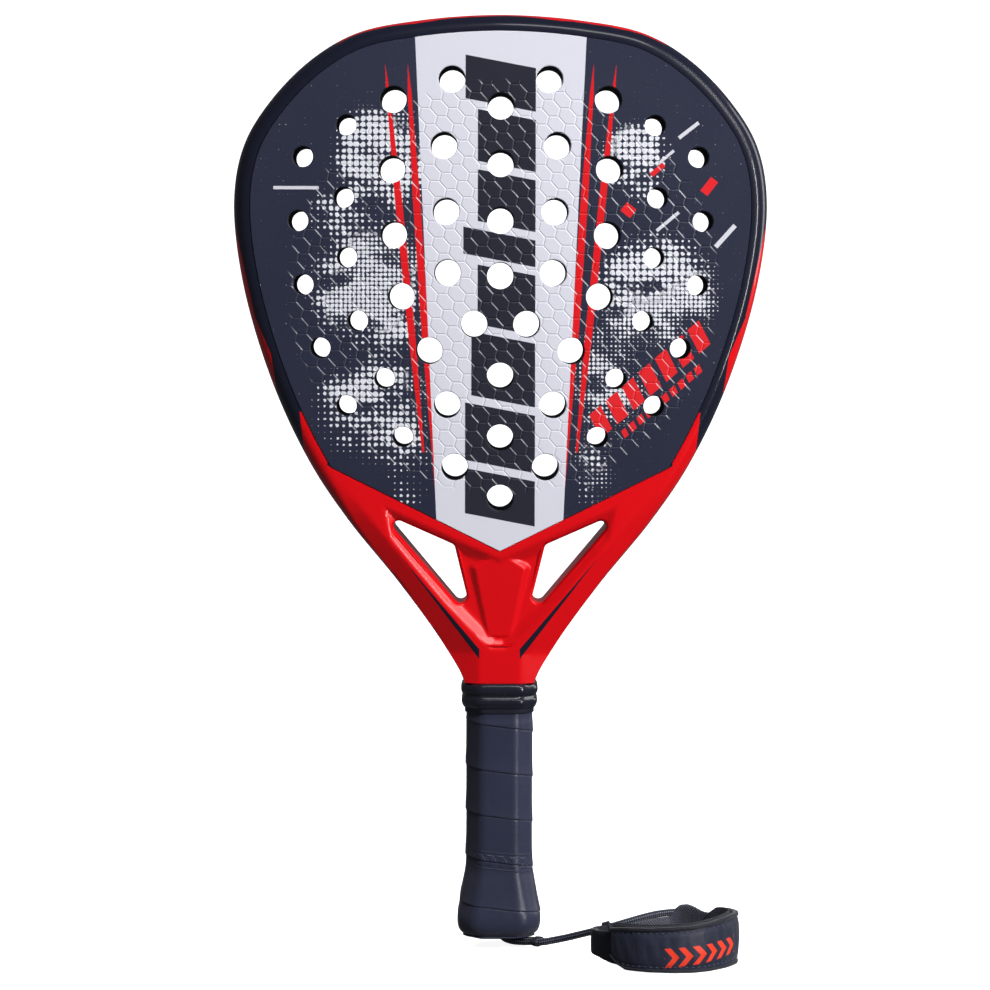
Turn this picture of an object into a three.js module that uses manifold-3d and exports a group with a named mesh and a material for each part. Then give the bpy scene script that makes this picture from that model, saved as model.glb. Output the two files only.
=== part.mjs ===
// A padel racket: a perforated foam and carbon head in a hollow frame, an open throat with a bridge,
// a wrapped handle with a rubber collar, and a padded wristband on a cord that leaves the butt cap.
// Millimetres, +Z up the handle towards the tip, the faces square to Y, the front face towards -Y.
// Heights are drawn above a base line 3 mm under the butt's end face. At the end the whole group is
// lowered, so that the origin is the middle of the grip, where the hand closes round it.
import * as THREE from "three";
import { mergeVertices } from "three/addons/utils/BufferGeometryUtils.js";
import Module from "manifold-3d";

const wasm = await Module();
wasm.setup();

// ---- Driving dimensions ----
const GRIP_CENTRE = 75; // height of the origin
const GAP = 0.3; // clearance between bonded or fitted neighbours
const HALF_THICKNESS = 19; // the head is 38 mm thick
const SKIN = 1.2; // carbon face sheets
const TIP = 455;

// The right half of the outline, from the tip round to the neck, as [x, height].
const OUTLINE = [
  [0, TIP],
  [40, 452.2],
  [70, 446],
  [92, 433.2],
  [112, 413.2],
  [125, 392],
  [130, 366],
  [126.2, 325],
  [112, 276],
  [94, 237],
  [76, 209.5],
  [50, 177.5],
  [28, 147.5],
  [17.4, 129.4],
  [16.2, 116],
];
const OUTLINE_STEPS = 76;
const SHOULDER_WIDTH = 7.6; // how far the rounded shoulder of the frame reaches in from the outline
const SHOULDER_DEPTH = 9;
const SHOULDER_TURNS = [90, 60, 30, 0]; // degrees round the shoulder, from the face to the side
const FACE_INSET = 8.3; // from the outline to the edge of a face sheet
const FRAME_WIDTH = 16.4; // from the outline to the inner wall of the frame
const NECK_HEIGHT = 129.4; // where the frame goes into the handle
const NECK_HALF_Y = 15.5;
const TAPER_TOP = 212; // the throat is full thickness above this

// The head ends in a V over the throat: height = VEE_APEX + VEE_SLOPE * |x|.
const VEE_APEX = 194.6;
const VEE_SLOPE = 0.497;
const VEE_LAND = 12; // how far the bridge reaches up under the face sheets
const CROTCH_HALF = 8; // half the flat at the foot of the throat

// A throat opening on the right, between the frame's arm and the bridge.
const OPENING_TOP = [24.2, 198.2];
const OPENING_FOOT = [17, 172];
const OPENING_CORNER = [49.5, 209.8];

const TUBE_WALL = 3; // the hollow inside the frame
const TUBE_HALF_Y = 13;
const TUBE_WEB_HALF = 1.5; // between the two tubes in the neck and the shaft

// Holes, as [x, height] of the right-hand one of each pair, or of a hole on the centre line.
const LARGE_HOLE = 6.5;
const SMALL_HOLE = 5;
const LARGE_HOLES = [
  [0, 410.5], [0, 382.8], [0, 355.4], [0, 328.6], [0, 280], [0, 250], [0, 220.6],
  [23.6, 423.4], [27.5, 391.5], [26.4, 359.7], [25.7, 330], [12.8, 305.1], [25.7, 266], [22.1, 235.7],
  [52, 413.6], [52.7, 380], [51.8, 348.3], [48.1, 318.5], [34.5, 292.2],
];
const SMALL_HOLES = [
  [74.7, 401.3], [76, 366.4], [74.4, 337.5], [69.2, 306.7], [56.2, 278.7], [47.3, 250.3],
  [95.8, 386], [98.1, 355.1], [95.6, 324.2], [87.4, 293.5], [74.7, 265.5],
];
const HOLE_SIDES = 12;

// Handle.
const SHAFT_HALF = [10.5, 7.5]; // the frame's two tubes, side by side inside the handle
const SHAFT_FOOT = 24.3;
const SHAFT_TUBE = [8, 5];
const GRIP_THICKNESS = 2;
const GRIP_BEVEL = 7.5; // an octagon's bevel, measured along each axis
const GRIP_ASPECT = 1.1; // the grip is this much less, each side, from front to back
const GRIP_TOP = 129.1;
const GRIP_FOOT = 5.3;
// Half the grip's width at each height, from the neck down over the flare of the butt.
const GRIP_PROFILE = [
  [GRIP_TOP, 16.3],
  [38, 16.3],
  [30, 17.7],
  [20, 19.2],
  [12, 20.4],
  [8, 20],
  [GRIP_FOOT, 18.8],
];
const PALLET_FOOT = 46.3;
const CAP_TOP = 46;
const BUTT_END = 3;
const BUTT_END_HALF = 16.2;
const CORD_HOLE = 4.8;
const CORD_HOLE_MOUTH = 8;
const CORD_HOLE_TOP = 11;
const KNOT_ROOM = 8; // radius of the room for the knot inside the cap
const DAMPER_FOOT = 96;

const TAPE_FOOT = 114.5;
const TAPE_WALL = 0.4;
const COLLAR_WALL = 0.7; // at the lips; the beads stand out from it
const COLLAR_PROFILE = [
  [117, 0],
  [118.6, 0.6],
  [121, 0.8],
  [123, 0.2],
  [125, 0.8],
  [127.6, 0.8],
  [GRIP_TOP, 0.2],
];

// Wrist cord and band. They lie on the surface that the butt is stood on.
const TABLE = -1.2;
const CORD = 3.6;
const STRAND_OFFSET = 1.9; // the cord leaves the butt doubled: its tail is sewn back to it
const CORD_HEADING = -32; // degrees about Z, from +X
const CORD_BEND = 8;
const CORD_TOP = 11.2;
const TAIL_REACH = 26;
const WHIP = [20.8, 24.4]; // where thread binds the two strands, as distances from the butt's axis
const WHIP_HEIGHT = 1.3;
const BAND_HEIGHT = 23;
const BAND_HALF = 2.5; // half the padded band's thickness
const BAND_PATH = [
  [54.5, -56], [62.3, -62.4], [71, -66.8], [84.5, -68.5], [94, -66.8], [103, -60.5], [110.5, -51], [113, -42.5],
  [109.5, -35], [103, -31],
];
const FRONT_TAB_PATH = [
  [53.4, -54.6], [48.5, -49.5], [45.6, -43.5], [47, -37.5], [53, -34],
];
const FRONT_TAB_EDGES = [1.6, 13.6];
const REAR_TAB_PATH = [
  [101.7, -30.3], [96.8, -26.6], [93, -22.6], [91.2, -19],
];
const REAR_TAB_EDGES = [8.5, 21];
// The free part of the cord, from the whipping to the rear tab.
const CORD_ROUTE = [
  [31, -17.5, 3.8], [40, -22.5, 6.9], [48.5, -27.2, 10], [57, -28.6, 12.6], [66, -27.2, 15], [76, -23, 16.8],
  [84.5, -19.5, 17.3], [89.4, -18, 17.2],
];
const KEEPER_AT = [52.7, -28.1, 11.3];

// ---- Materials ----
const paint = (color, roughness, metalness = 0) =>
  new THREE.MeshStandardMaterial({ color, roughness, metalness });
const MATERIALS = {
  frame: paint(0xd8081c, 0.35),
  face: paint(0x1d2236, 0.45),
  foam: paint(0x2b2d36, 0.9),
  damper: paint(0x3a3f48, 0.7),
  pallet: paint(0xb8b4a4, 0.85),
  cap: paint(0x17181f, 0.55),
  grip: paint(0x2a2d3c, 0.5),
  tape: paint(0x101118, 0.4),
  collar: paint(0x15161e, 0.3),
  cord: paint(0x1a1c28, 0.8),
  satin: paint(0x171924, 0.55),
  padding: paint(0x33353f, 0.95),
  lining: paint(0x20222e, 0.9),
  binding: paint(0x0f1017, 0.6),
};

// ---- Solids and geometry ----
function solidOf(geometry) {
  const bare = geometry.clone();
  bare.deleteAttribute("normal");
  bare.deleteAttribute("uv");
  const merged = mergeVertices(bare, 1e-4);
  return new wasm.Manifold(
    new wasm.Mesh({
      numProp: 3,
      vertProperties: merged.attributes.position.array,
      triVerts: new Uint32Array(merged.index.array),
    }),
  );
}

function geometryOf(solid) {
  const mesh = solid.getMesh();
  const geometry = new THREE.BufferGeometry();
  geometry.setAttribute("position", new THREE.BufferAttribute(mesh.vertProperties, 3));
  geometry.setIndex(new THREE.BufferAttribute(mesh.triVerts, 1));
  const faceted = geometry.toNonIndexed();
  faceted.computeVertexNormals();
  return faceted;
}

// A solid through rings of points, each ring closed and with as many points as the others.
function loft(sections) {
  const across = new THREE.Vector3().subVectors(sections.at(-1)[0], sections[0][0]);
  const upright = Math.abs(across.y) > Math.abs(across.z);
  const flat = (p) => new THREE.Vector2(p.x, upright ? p.z : p.y);
  const clockwise = THREE.ShapeUtils.isClockWise(sections[0].map(flat));
  const rings = clockwise ? sections.map((ring) => ring.slice().reverse()) : sections;
  const count = rings[0].length;
  const triangles = [];
  for (let r = 0; r < rings.length - 1; r++) {
    for (let i = 0; i < count; i++) {
      const j = (i + 1) % count;
      const [a, b] = [r * count + i, r * count + j];
      triangles.push(a, b, b + count, a, b + count, a + count);
    }
  }
  const last = (rings.length - 1) * count;
  for (const [a, b, c] of THREE.ShapeUtils.triangulateShape(rings[0].map(flat), [])) {
    triangles.push(c, b, a);
    triangles.push(last + a, last + b, last + c);
  }
  const geometry = new THREE.BufferGeometry();
  const positions = rings.flat().flatMap((p) => [p.x, p.y, p.z]);
  geometry.setAttribute("position", new THREE.Float32BufferAttribute(positions, 3));
  geometry.setIndex(triangles);
  const solid = solidOf(geometry);
  if (solid.volume() > 0) return solid;
  geometry.setIndex(triangles.reverse());
  return solidOf(geometry);
}

// A prism between two depths, from a closed outline of [x, height] points.
function slab(points, back, front) {
  const shape = new THREE.Shape(points.map(([x, z]) => new THREE.Vector2(x, z)));
  const geometry = new THREE.ExtrudeGeometry(shape, { depth: back - front, bevelEnabled: false });
  geometry.rotateX(Math.PI / 2);
  geometry.translate(0, back, 0);
  return solidOf(geometry);
}

// A box from its lowest and highest corners.
function block([x0, y0, z0], [x1, y1, z1]) {
  const geometry = new THREE.BoxGeometry(x1 - x0, y1 - y0, z1 - z0);
  geometry.translate((x0 + x1) / 2, (y0 + y1) / 2, (z0 + z1) / 2);
  return solidOf(geometry);
}

// A solid of revolution about Z, from [radius, height] points that start and end on the axis.
function turned(profile, sides = 32) {
  const geometry = new THREE.LatheGeometry(profile.map(([r, z]) => new THREE.Vector2(r, z)), sides);
  geometry.rotateX(Math.PI / 2);
  const solid = solidOf(geometry);
  if (solid.volume() > 0) return solid;
  geometry.setIndex(Array.from(geometry.index.array).reverse());
  return solidOf(geometry);
}

// ---- The outline and its insets ----
const mirrored = OUTLINE.slice(1).reverse().map(([x, z]) => [-x, z]);
const outlineCurve = new THREE.CatmullRomCurve3(
  [...mirrored, ...OUTLINE].map(([x, z]) => new THREE.Vector3(x, 0, z)),
  false,
  "centripetal",
);

// Points of the outline moved inwards, in order from the left of the neck over the tip to the right.
// The two sides stop at the distance stop from the centre line.
function inset(distance, stop = 0.01) {
  const half = OUTLINE_STEPS / 2;
  const right = [];
  for (let i = half; i <= OUTLINE_STEPS; i++) {
    const p = outlineCurve.getPointAt(i / OUTLINE_STEPS);
    const t = outlineCurve.getTangentAt(i / OUTLINE_STEPS);
    const [x, z] = [i === half ? 0 : p.x + t.z * distance, p.z - t.x * distance];
    if (i > half && x < stop) {
      const [x0, z0] = right.at(-1);
      right.push([stop, z0 + ((z - z0) * (x0 - stop)) / (x0 - x)]);
      break;
    }
    right.push([x, z]);
  }
  return [...right.slice(1).reverse().map(([x, z]) => [-x, z]), ...right];
}

const insetSlab = (distance, halfDepth, stop) => slab(inset(distance, stop), halfDepth, -halfDepth);

// Everything above the V, raised by lift.
function aboveVee(lift, halfDepth) {
  const [reach, top] = [150, TIP + 10];
  const apex = VEE_APEX + lift;
  const edge = apex + VEE_SLOPE * reach;
  return slab([[0, apex], [reach, edge], [reach, top], [-reach, top], [-reach, edge]], halfDepth, -halfDepth);
}

// A prism along X, from a [depth, height] half profile that is mirrored front to back.
function sideProfile(half) {
  const points = [...half, ...half.slice().reverse().map(([y, z]) => [-y, z])];
  const shape = new THREE.Shape(points.map(([y, z]) => new THREE.Vector2(y, z)));
  const geometry = new THREE.ExtrudeGeometry(shape, { depth: 320, bevelEnabled: false });
  geometry.translate(0, 0, -160);
  geometry.rotateX(Math.PI / 2);
  geometry.rotateZ(Math.PI / 2);
  return solidOf(geometry);
}

// ---- Head ----
function holes() {
  let all = null;
  const sizes = [[LARGE_HOLES, LARGE_HOLE], [SMALL_HOLES, SMALL_HOLE]];
  for (const [list, radius] of sizes) {
    for (const [x, z] of list) {
      for (const side of x === 0 ? [1] : [-1, 1]) {
        const geometry = new THREE.CylinderGeometry(radius, radius, 60, HOLE_SIDES);
        geometry.translate(side * x, 0, z);
        const hole = solidOf(geometry);
        all = all ? all.add(hole) : hole;
      }
    }
  }
  return all;
}

const drilled = holes();

function faceSheet(front) {
  const [near, far] = [HALF_THICKNESS - SKIN, HALF_THICKNESS];
  const plate = front ? slab(inset(FACE_INSET), -near, -far) : slab(inset(FACE_INSET), far, near);
  return plate.intersect(aboveVee(0, 30)).subtract(drilled);
}

function foamCore() {
  return insetSlab(FRAME_WIDTH + GAP, HALF_THICKNESS - SKIN - 0.02, CROTCH_HALF)
    .intersect(aboveVee(VEE_LAND + GAP, 30))
    .subtract(drilled);
}

// The seats that the two face sheets lie in.
function faceSeats() {
  const outline = inset(FACE_INSET - GAP);
  const floor = HALF_THICKNESS - SKIN;
  return slab(outline, 30, floor)
    .add(slab(outline, -floor, -30))
    .intersect(aboveVee(-GAP, 40));
}

function shoulderRings() {
  const levels = [];
  for (const turn of SHOULDER_TURNS) {
    const angle = THREE.MathUtils.degToRad(turn);
    levels.push([
      SHOULDER_WIDTH * (1 - Math.cos(angle)),
      HALF_THICKNESS - SHOULDER_DEPTH + SHOULDER_DEPTH * Math.sin(angle),
    ]);
  }
  const front = levels.map(([distance, depth]) => [distance, -depth]);
  const back = levels.slice().reverse();
  return [...front, ...back].map(([distance, depth]) =>
    inset(distance).map(([x, z]) => new THREE.Vector3(x, depth, z)));
}

function tubeHollow() {
  const head = insetSlab(TUBE_WALL, TUBE_HALF_Y)
    .subtract(insetSlab(FRAME_WIDTH - TUBE_WALL, 30))
    .subtract(block([-TUBE_WEB_HALF, -30, 100], [TUBE_WEB_HALF, 30, VEE_APEX]))
    .intersect(block([-150, -30, NECK_HEIGHT + TUBE_WALL], [150, 30, TIP]));
  let all = head;
  for (const side of [-1, 1]) {
    const [near, far] = [side * TUBE_WEB_HALF, side * SHAFT_TUBE[0]].sort((a, b) => a - b);
    const tube = block([near, -SHAFT_TUBE[1], 0], [far, SHAFT_TUBE[1], NECK_HEIGHT + 2 * TUBE_WALL]);
    all = all.add(tube);
  }
  return all;
}

function frame() {
  const taper = sideProfile([
    [HALF_THICKNESS, TIP + 1],
    [HALF_THICKNESS, TAPER_TOP],
    [NECK_HALF_Y, NECK_HEIGHT],
  ]);
  const body = loft(shoulderRings())
    .intersect(taper)
    .subtract(insetSlab(FRAME_WIDTH, 30, CROTCH_HALF))
    .subtract(faceSeats());
  const [x, y] = SHAFT_HALF;
  const shaft = block([-x, -y, SHAFT_FOOT], [x, y, NECK_HEIGHT + 1]);
  return body.add(shaft).subtract(tubeHollow());
}

function throatBridge() {
  const profile = sideProfile([
    [HALF_THICKNESS - 0.4, 260],
    [HALF_THICKNESS - 0.4, 199],
    [15, 188],
    [13.5, 140],
  ]);
  let bridge = insetSlab(FRAME_WIDTH + GAP, 30, CROTCH_HALF)
    .subtract(aboveVee(VEE_LAND, 40))
    .intersect(profile)
    .subtract(faceSeats());
  const [topX, topZ] = OPENING_TOP;
  const [footX, footZ] = OPENING_FOOT;
  const [cornerX, cornerZ] = OPENING_CORNER;
  for (const side of [-1, 1]) {
    const cut = [
      [side * footX, footZ],
      [side * (footX - 1.2), footZ + 2.5],
      [side * (topX - 1.2), topZ - 3],
      [side * (topX + 1.8), topZ - 0.2],
      [side * cornerX, cornerZ],
      [side * (cornerX + 8), cornerZ - 6],
      [side * (footX + 8), footZ - 6],
    ];
    bridge = bridge.subtract(slab(cut, 30, -30));
  }
  return bridge;
}

// ---- Handle ----
function octagon(halfX, halfY, height) {
  const [bevelX, bevelY] = [halfX - GRIP_BEVEL, halfY - GRIP_BEVEL];
  return [
    [bevelX, -halfY], [halfX, -bevelY], [halfX, bevelY], [bevelX, halfY],
    [-bevelX, halfY], [-halfX, bevelY], [-halfX, -bevelY], [-bevelX, -halfY],
  ].map(([x, y]) => new THREE.Vector3(x, y, height));
}

// An octagonal solid through [height, half width] levels, grown by extra.
const handleLoft = (levels, extra = 0) =>
  loft(levels.map(([height, half]) => octagon(half + extra, half - GRIP_ASPECT + extra, height)));

// The grip's profile between two heights, with its ends cut to them.
function gripLevels(top, foot) {
  const at = (height) => {
    const i = GRIP_PROFILE.findIndex(([z]) => z <= height);
    if (i <= 0) return GRIP_PROFILE.at(i < 0 ? -1 : 0)[1];
    const [[z0, w0], [z1, w1]] = [GRIP_PROFILE[i - 1], GRIP_PROFILE[i]];
    return w0 + ((w1 - w0) * (z0 - height)) / (z0 - z1);
  };
  const between = GRIP_PROFILE.filter(([z]) => z < top && z > foot);
  return [[top, at(top)], ...between, [foot, at(foot)]];
}

function baseGrip() {
  const inner = gripLevels(GRIP_TOP, GRIP_FOOT);
  inner[0] = [GRIP_TOP + 5, inner[0][1]];
  inner[inner.length - 1] = [GRIP_FOOT - 5, inner.at(-1)[1]];
  return handleLoft(gripLevels(GRIP_TOP, GRIP_FOOT)).subtract(handleLoft(inner, -GRIP_THICKNESS));
}

const underGrip = -GRIP_THICKNESS - GAP;
const shaftSocket = () => {
  const [x, y] = [SHAFT_HALF[0] + GAP, SHAFT_HALF[1] + GAP];
  return block([-x, -y, SHAFT_FOOT - GAP], [x, y, 200]);
};

const handlePallet = () =>
  handleLoft(gripLevels(DAMPER_FOOT - GAP, PALLET_FOOT), underGrip).subtract(shaftSocket());

const damperSleeve = () =>
  handleLoft(gripLevels(GRIP_TOP, DAMPER_FOOT), underGrip).subtract(shaftSocket());

function buttCap() {
  const levels = gripLevels(CAP_TOP, GRIP_FOOT);
  levels.push([BUTT_END, BUTT_END_HALF - underGrip]);
  const cordWay = turned([
    [0, -5], [CORD_HOLE_MOUTH, -5], [CORD_HOLE_MOUTH, BUTT_END], [CORD_HOLE, BUTT_END + 4],
    [CORD_HOLE, CORD_HOLE_TOP], [KNOT_ROOM, CORD_HOLE_TOP], [KNOT_ROOM, SHAFT_FOOT + 1], [0, SHAFT_FOOT + 1],
  ]);
  return handleLoft(levels, underGrip).subtract(shaftSocket()).subtract(cordWay);
}

function finishingTape() {
  const levels = gripLevels(GRIP_TOP, TAPE_FOOT);
  const through = [[GRIP_TOP + 5, levels[0][1]], [TAPE_FOOT - 5, levels[0][1]]];
  return handleLoft(levels, GAP + TAPE_WALL).subtract(handleLoft(through, GAP));
}

function gripCollar() {
  const half = GRIP_PROFILE[0][1] + 2 * GAP + TAPE_WALL;
  const levels = COLLAR_PROFILE.map(([height, bead]) => [height, half + COLLAR_WALL + bead]);
  const through = [[levels[0][0] - 5, half], [GRIP_TOP + 5, half]];
  return handleLoft(levels).subtract(handleLoft(through));
}

// ---- Wrist cord ----
const heading = THREE.MathUtils.degToRad(CORD_HEADING);
// A point of a strand that leaves the butt: along the heading, beside it, and its height.
const strandPoint = (along, beside, height) =>
  new THREE.Vector3(
    along * Math.cos(heading) - beside * Math.sin(heading),
    along * Math.sin(heading) + beside * Math.cos(heading),
    height,
  );

// Down out of the butt's hole, round the bend and along the table as far as reach.
function strandOut(beside, reach) {
  const floor = TABLE + CORD / 2;
  const points = [strandPoint(0, beside, CORD_TOP), strandPoint(0, beside, floor + CORD_BEND)];
  for (const turn of [30, 60, 90]) {
    const angle = THREE.MathUtils.degToRad(turn);
    const along = CORD_BEND * (1 - Math.cos(angle));
    points.push(strandPoint(along, beside, floor + CORD_BEND * (1 - Math.sin(angle))));
  }
  points.push(strandPoint(14, beside, floor));
  points.push(strandPoint(WHIP[0], beside, WHIP_HEIGHT));
  points.push(strandPoint(reach, beside, WHIP_HEIGHT));
  return points;
}

function tube(points, diameter, sides = 8) {
  const path = new THREE.CatmullRomCurve3(points, false, "centripetal");
  const section = new THREE.Shape();
  section.absarc(0, 0, diameter / 2, 0, 2 * Math.PI);
  const steps = Math.ceil(path.getLength() / (1.2 * diameter));
  const outline = new THREE.Shape(section.getSpacedPoints(sides).slice(0, sides));
  return solidOf(new THREE.ExtrudeGeometry(outline, { steps, extrudePath: path, bevelEnabled: false }));
}

const mainStrand = strandOut(-STRAND_OFFSET, WHIP[1]);
const wristCord = () => tube([...mainStrand, ...CORD_ROUTE.map((p) => new THREE.Vector3(...p))], CORD);
const cordTail = () => tube(strandOut(STRAND_OFFSET, TAIL_REACH), CORD);

function cordKnot() {
  const ball = new THREE.SphereGeometry(1, 14, 8);
  ball.scale(6, 6, 4);
  ball.translate(0, 0, CORD_TOP + GAP + 4.1);
  return solidOf(ball);
}

// An oval ring of thread round both strands.
function cordWhipping() {
  const ring = (halfY, halfZ, from, to) => {
    const shape = new THREE.Shape();
    shape.absellipse(0, 0, halfY, halfZ, 0, 2 * Math.PI);
    const geometry = new THREE.ExtrudeGeometry(
      new THREE.Shape(shape.getSpacedPoints(20).slice(0, 20)),
      { depth: to - from, bevelEnabled: false },
    );
    geometry.translate(0, 0, from);
    geometry.rotateY(Math.PI / 2);
    geometry.rotateX(Math.PI / 2);
    geometry.rotateZ(heading);
    geometry.translate(0, 0, WHIP_HEIGHT);
    return solidOf(geometry);
  };
  const [y, z] = [STRAND_OFFSET + CORD / 2 + 0.9, CORD / 2 + 0.7];
  const [from, to] = [WHIP[0] + 0.3, WHIP[1] - 0.3];
  return ring(y, z, from, to)
    .subtract(cordTail())
    .subtract(wristCord())
    .subtract(ring(y - 0.5, z - 0.5, from - 1, to + 1));
}

// A ring of webbing round the cord, sewn to the front tab.
function cordKeeper() {
  const [x, y, z] = KEEPER_AT;
  const direction = new THREE.Vector3(...CORD_ROUTE[3]).sub(new THREE.Vector3(...CORD_ROUTE[2])).normalize();
  const turn = new THREE.Quaternion().setFromUnitVectors(new THREE.Vector3(0, 1, 0), direction);
  const cylinder = (radius, length) => {
    const geometry = new THREE.CylinderGeometry(radius, radius, length, 16);
    geometry.applyQuaternion(turn);
    geometry.translate(x, y, z);
    return solidOf(geometry);
  };
  return cylinder(CORD / 2 + 1.3, 4).subtract(cylinder(CORD / 2 + 0.5, 8));
}

// ---- Wristband ----
// A strip that stands on its edge along a plan curve, between two offsets from it.
function strip(path, [inner, outer], [low, high], steps = 26) {
  const curve = new THREE.CatmullRomCurve3(path.map(([x, y]) => new THREE.Vector3(x, y, 0)), false, "centripetal");
  const sides = [[], []];
  for (let i = 0; i <= steps; i++) {
    const p = curve.getPointAt(i / steps);
    const t = curve.getTangentAt(i / steps);
    [inner, outer].forEach((offset, k) => sides[k].push(new THREE.Vector2(p.x + t.y * offset, p.y - t.x * offset)));
  }
  const shape = new THREE.Shape([...sides[0], ...sides[1].reverse()]);
  const geometry = new THREE.ExtrudeGeometry(shape, { depth: high - low, bevelEnabled: false });
  geometry.translate(0, 0, low);
  return solidOf(geometry);
}

const bandTop = TABLE + BAND_HEIGHT;
const BINDING = 0.7;
const edges = [TABLE + BINDING + GAP, bandTop - BINDING - GAP];
const bandOuter = () => strip(BAND_PATH, [0.9, BAND_HALF], edges);
const bandPadding = () => strip(BAND_PATH, [-1.3, 0.6], [edges[0] + 1, edges[1] - 1]);
const bandLining = () => strip(BAND_PATH, [-BAND_HALF, -1.6], edges);
const bandBinding = (low) => strip(BAND_PATH, [-BAND_HALF, BAND_HALF], [low, low + BINDING]);
const frontTab = () => strip(FRONT_TAB_PATH, [-0.8, 0.8], FRONT_TAB_EDGES, 14);
const rearTab = () => strip(REAR_TAB_PATH, [-0.8, 0.8], REAR_TAB_EDGES, 10);

// ---- The racket ----
const racket = new THREE.Group();
racket.position.z = -GRIP_CENTRE;

function add(name, solid, material) {
  const mesh = new THREE.Mesh(geometryOf(solid), MATERIALS[material]);
  mesh.name = name;
  racket.add(mesh);
}

add("frame", frame(), "frame");
add("throat_bridge", throatBridge(), "frame");
add("front_face", faceSheet(true), "face");
add("back_face", faceSheet(false), "face");
add("foam_core", foamCore(), "foam");
add("handle_pallet", handlePallet(), "pallet");
add("damper_sleeve", damperSleeve(), "damper");
add("butt_cap", buttCap(), "cap");
add("base_grip", baseGrip(), "grip");
add("finishing_tape", finishingTape(), "tape");
add("grip_collar", gripCollar(), "collar");
add("cord_knot", cordKnot(), "cord");
add("wrist_cord", wristCord(), "cord");
add("cord_tail", cordTail(), "cord");
add("cord_whipping", cordWhipping(), "binding");
add("cord_keeper", cordKeeper(), "binding");
add("front_tab", frontTab(), "satin");
add("rear_tab", rearTab(), "lining");
add("band_outer", bandOuter(), "satin");
add("band_padding", bandPadding(), "padding");
add("band_lining", bandLining(), "lining");
add("band_binding_bottom", bandBinding(TABLE), "binding");
add("band_binding_top", bandBinding(bandTop - BINDING), "binding");

export default racket;
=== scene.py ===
"""The looks of a padel racket with a wrist strap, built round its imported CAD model.

Shapes are drawn in millimetres, with heights above a base line just under the butt, and are lowered by
GRIP_CENTRE to the frame's origin. Fronts face -Y.
"""
import math

import bpy
import numpy as np
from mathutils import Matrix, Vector
from mathutils.geometry import delaunay_2d_cdt


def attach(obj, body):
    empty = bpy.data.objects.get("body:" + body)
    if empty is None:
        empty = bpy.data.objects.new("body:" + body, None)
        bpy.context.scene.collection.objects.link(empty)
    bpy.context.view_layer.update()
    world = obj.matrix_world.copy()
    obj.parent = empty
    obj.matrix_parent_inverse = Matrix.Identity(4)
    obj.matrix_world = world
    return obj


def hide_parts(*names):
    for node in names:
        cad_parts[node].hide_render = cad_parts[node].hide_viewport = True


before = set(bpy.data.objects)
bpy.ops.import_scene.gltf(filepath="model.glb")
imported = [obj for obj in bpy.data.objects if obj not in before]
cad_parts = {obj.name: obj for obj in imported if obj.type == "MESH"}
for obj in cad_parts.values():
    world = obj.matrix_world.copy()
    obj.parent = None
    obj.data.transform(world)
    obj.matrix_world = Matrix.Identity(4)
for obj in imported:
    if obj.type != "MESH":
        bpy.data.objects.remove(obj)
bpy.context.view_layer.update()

GRIP_CENTRE = 75
MM = 0.001
TABLE = -1.2

# ---- The head's plan. The outline is up to 1.7 mm inside the CAD's along the throat's arms. ----
HALF_THICKNESS = 19
SKIN = 1.2
OUTLINE = [
    (0, 455), (40, 452.2), (70, 446), (92, 433.2), (112, 413), (124.7, 392), (129.7, 366), (125.5, 325),
    (111, 276), (92.7, 237), (74.4, 209.5), (48.5, 177.5), (27, 147.5), (17.2, 129.4), (16.2, 116),
]
NECK_HEIGHT = 129.4
NECK_HALF_Y = 15.5
TAPER_TOP = 212
VEE_APEX = 194.6
VEE_SLOPE = 0.497
VEE_LAND = 12
FACE_INSET = 8.3
SHAFT_HALF = (10.5, 7.5)
SHAFT_FOOT = 24.3
FRAME_WIDTH = 16.4
CROTCH_HALF = 8
SHOULDER_WIDTH = 7.6
SHOULDER_DEPTH = 9
GAP = 0.3
# The sheet's seat: how far in its wall stands, and how far the wall leans.
SEAT_INSET = 8
SEAT_WALL = 0.08
# Lines of points at these distances inside the outline, and outside each opening.
RIM_LINES = (0.12, 0.5, 1.15, 2, 3, 4.3, 5.9, 7.6, SEAT_INSET, SEAT_INSET + SEAT_WALL)
OPENING_LINES = (0.12, 0.4, 0.8, 1.4)
GRID_STEP = 0.85
GRID_TOP = 238
GRID_HALF = 90
GRID_CLEAR = 0.4

LARGE_HOLE = 6.5
SMALL_HOLE = 5
HOLE_CHAMFER = 0.35
CHAMFER_DEPTH = 0.3
LARGE_HOLES = [
    (0, 410.5), (0, 382.8), (0, 355.4), (0, 328.6), (0, 280), (0, 250), (0, 220.6),
    (23.6, 423.4), (27.5, 391.5), (26.4, 359.7), (25.7, 330), (12.8, 305.1), (25.7, 266), (22.1, 235.7),
    (52, 413.6), (52.7, 380), (51.8, 348.3), (48.1, 318.5), (34.5, 292.2),
]
SMALL_HOLES = [
    (74.7, 401.3), (76, 366.4), (74.4, 337.5), (69.2, 306.7), (56.2, 278.7), (47.3, 250.3),
    (95.8, 386), (98.1, 355.1), (95.6, 324.2), (87.4, 293.5), (74.7, 265.5),
]

# ---- The throat's moulded form ----
# The crease where an arm's outer bevel starts, as (x, height), from the neck up.
OUTER_CREASE = [(10.2, 129), (10.2, 144.3), (28, 167), (47, 190.7), (60, 207), (80, 233), (100, 262)]
OUTER_SLOPE = 0.36
BEVEL_FADE = (196, 240)
# The basin round the openings and the stem: its right side, from the foot to under the V.
BASIN = [(0, 145.9), (3.6, 145.9), (9.6, 150.8), (26.3, 168), (44, 189), (53.4, 200.7), (56.8, 216.8)]
BASIN_DROP = 3.3
BASIN_SLOPE = 0.58
VEE_CREST = 4
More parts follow.
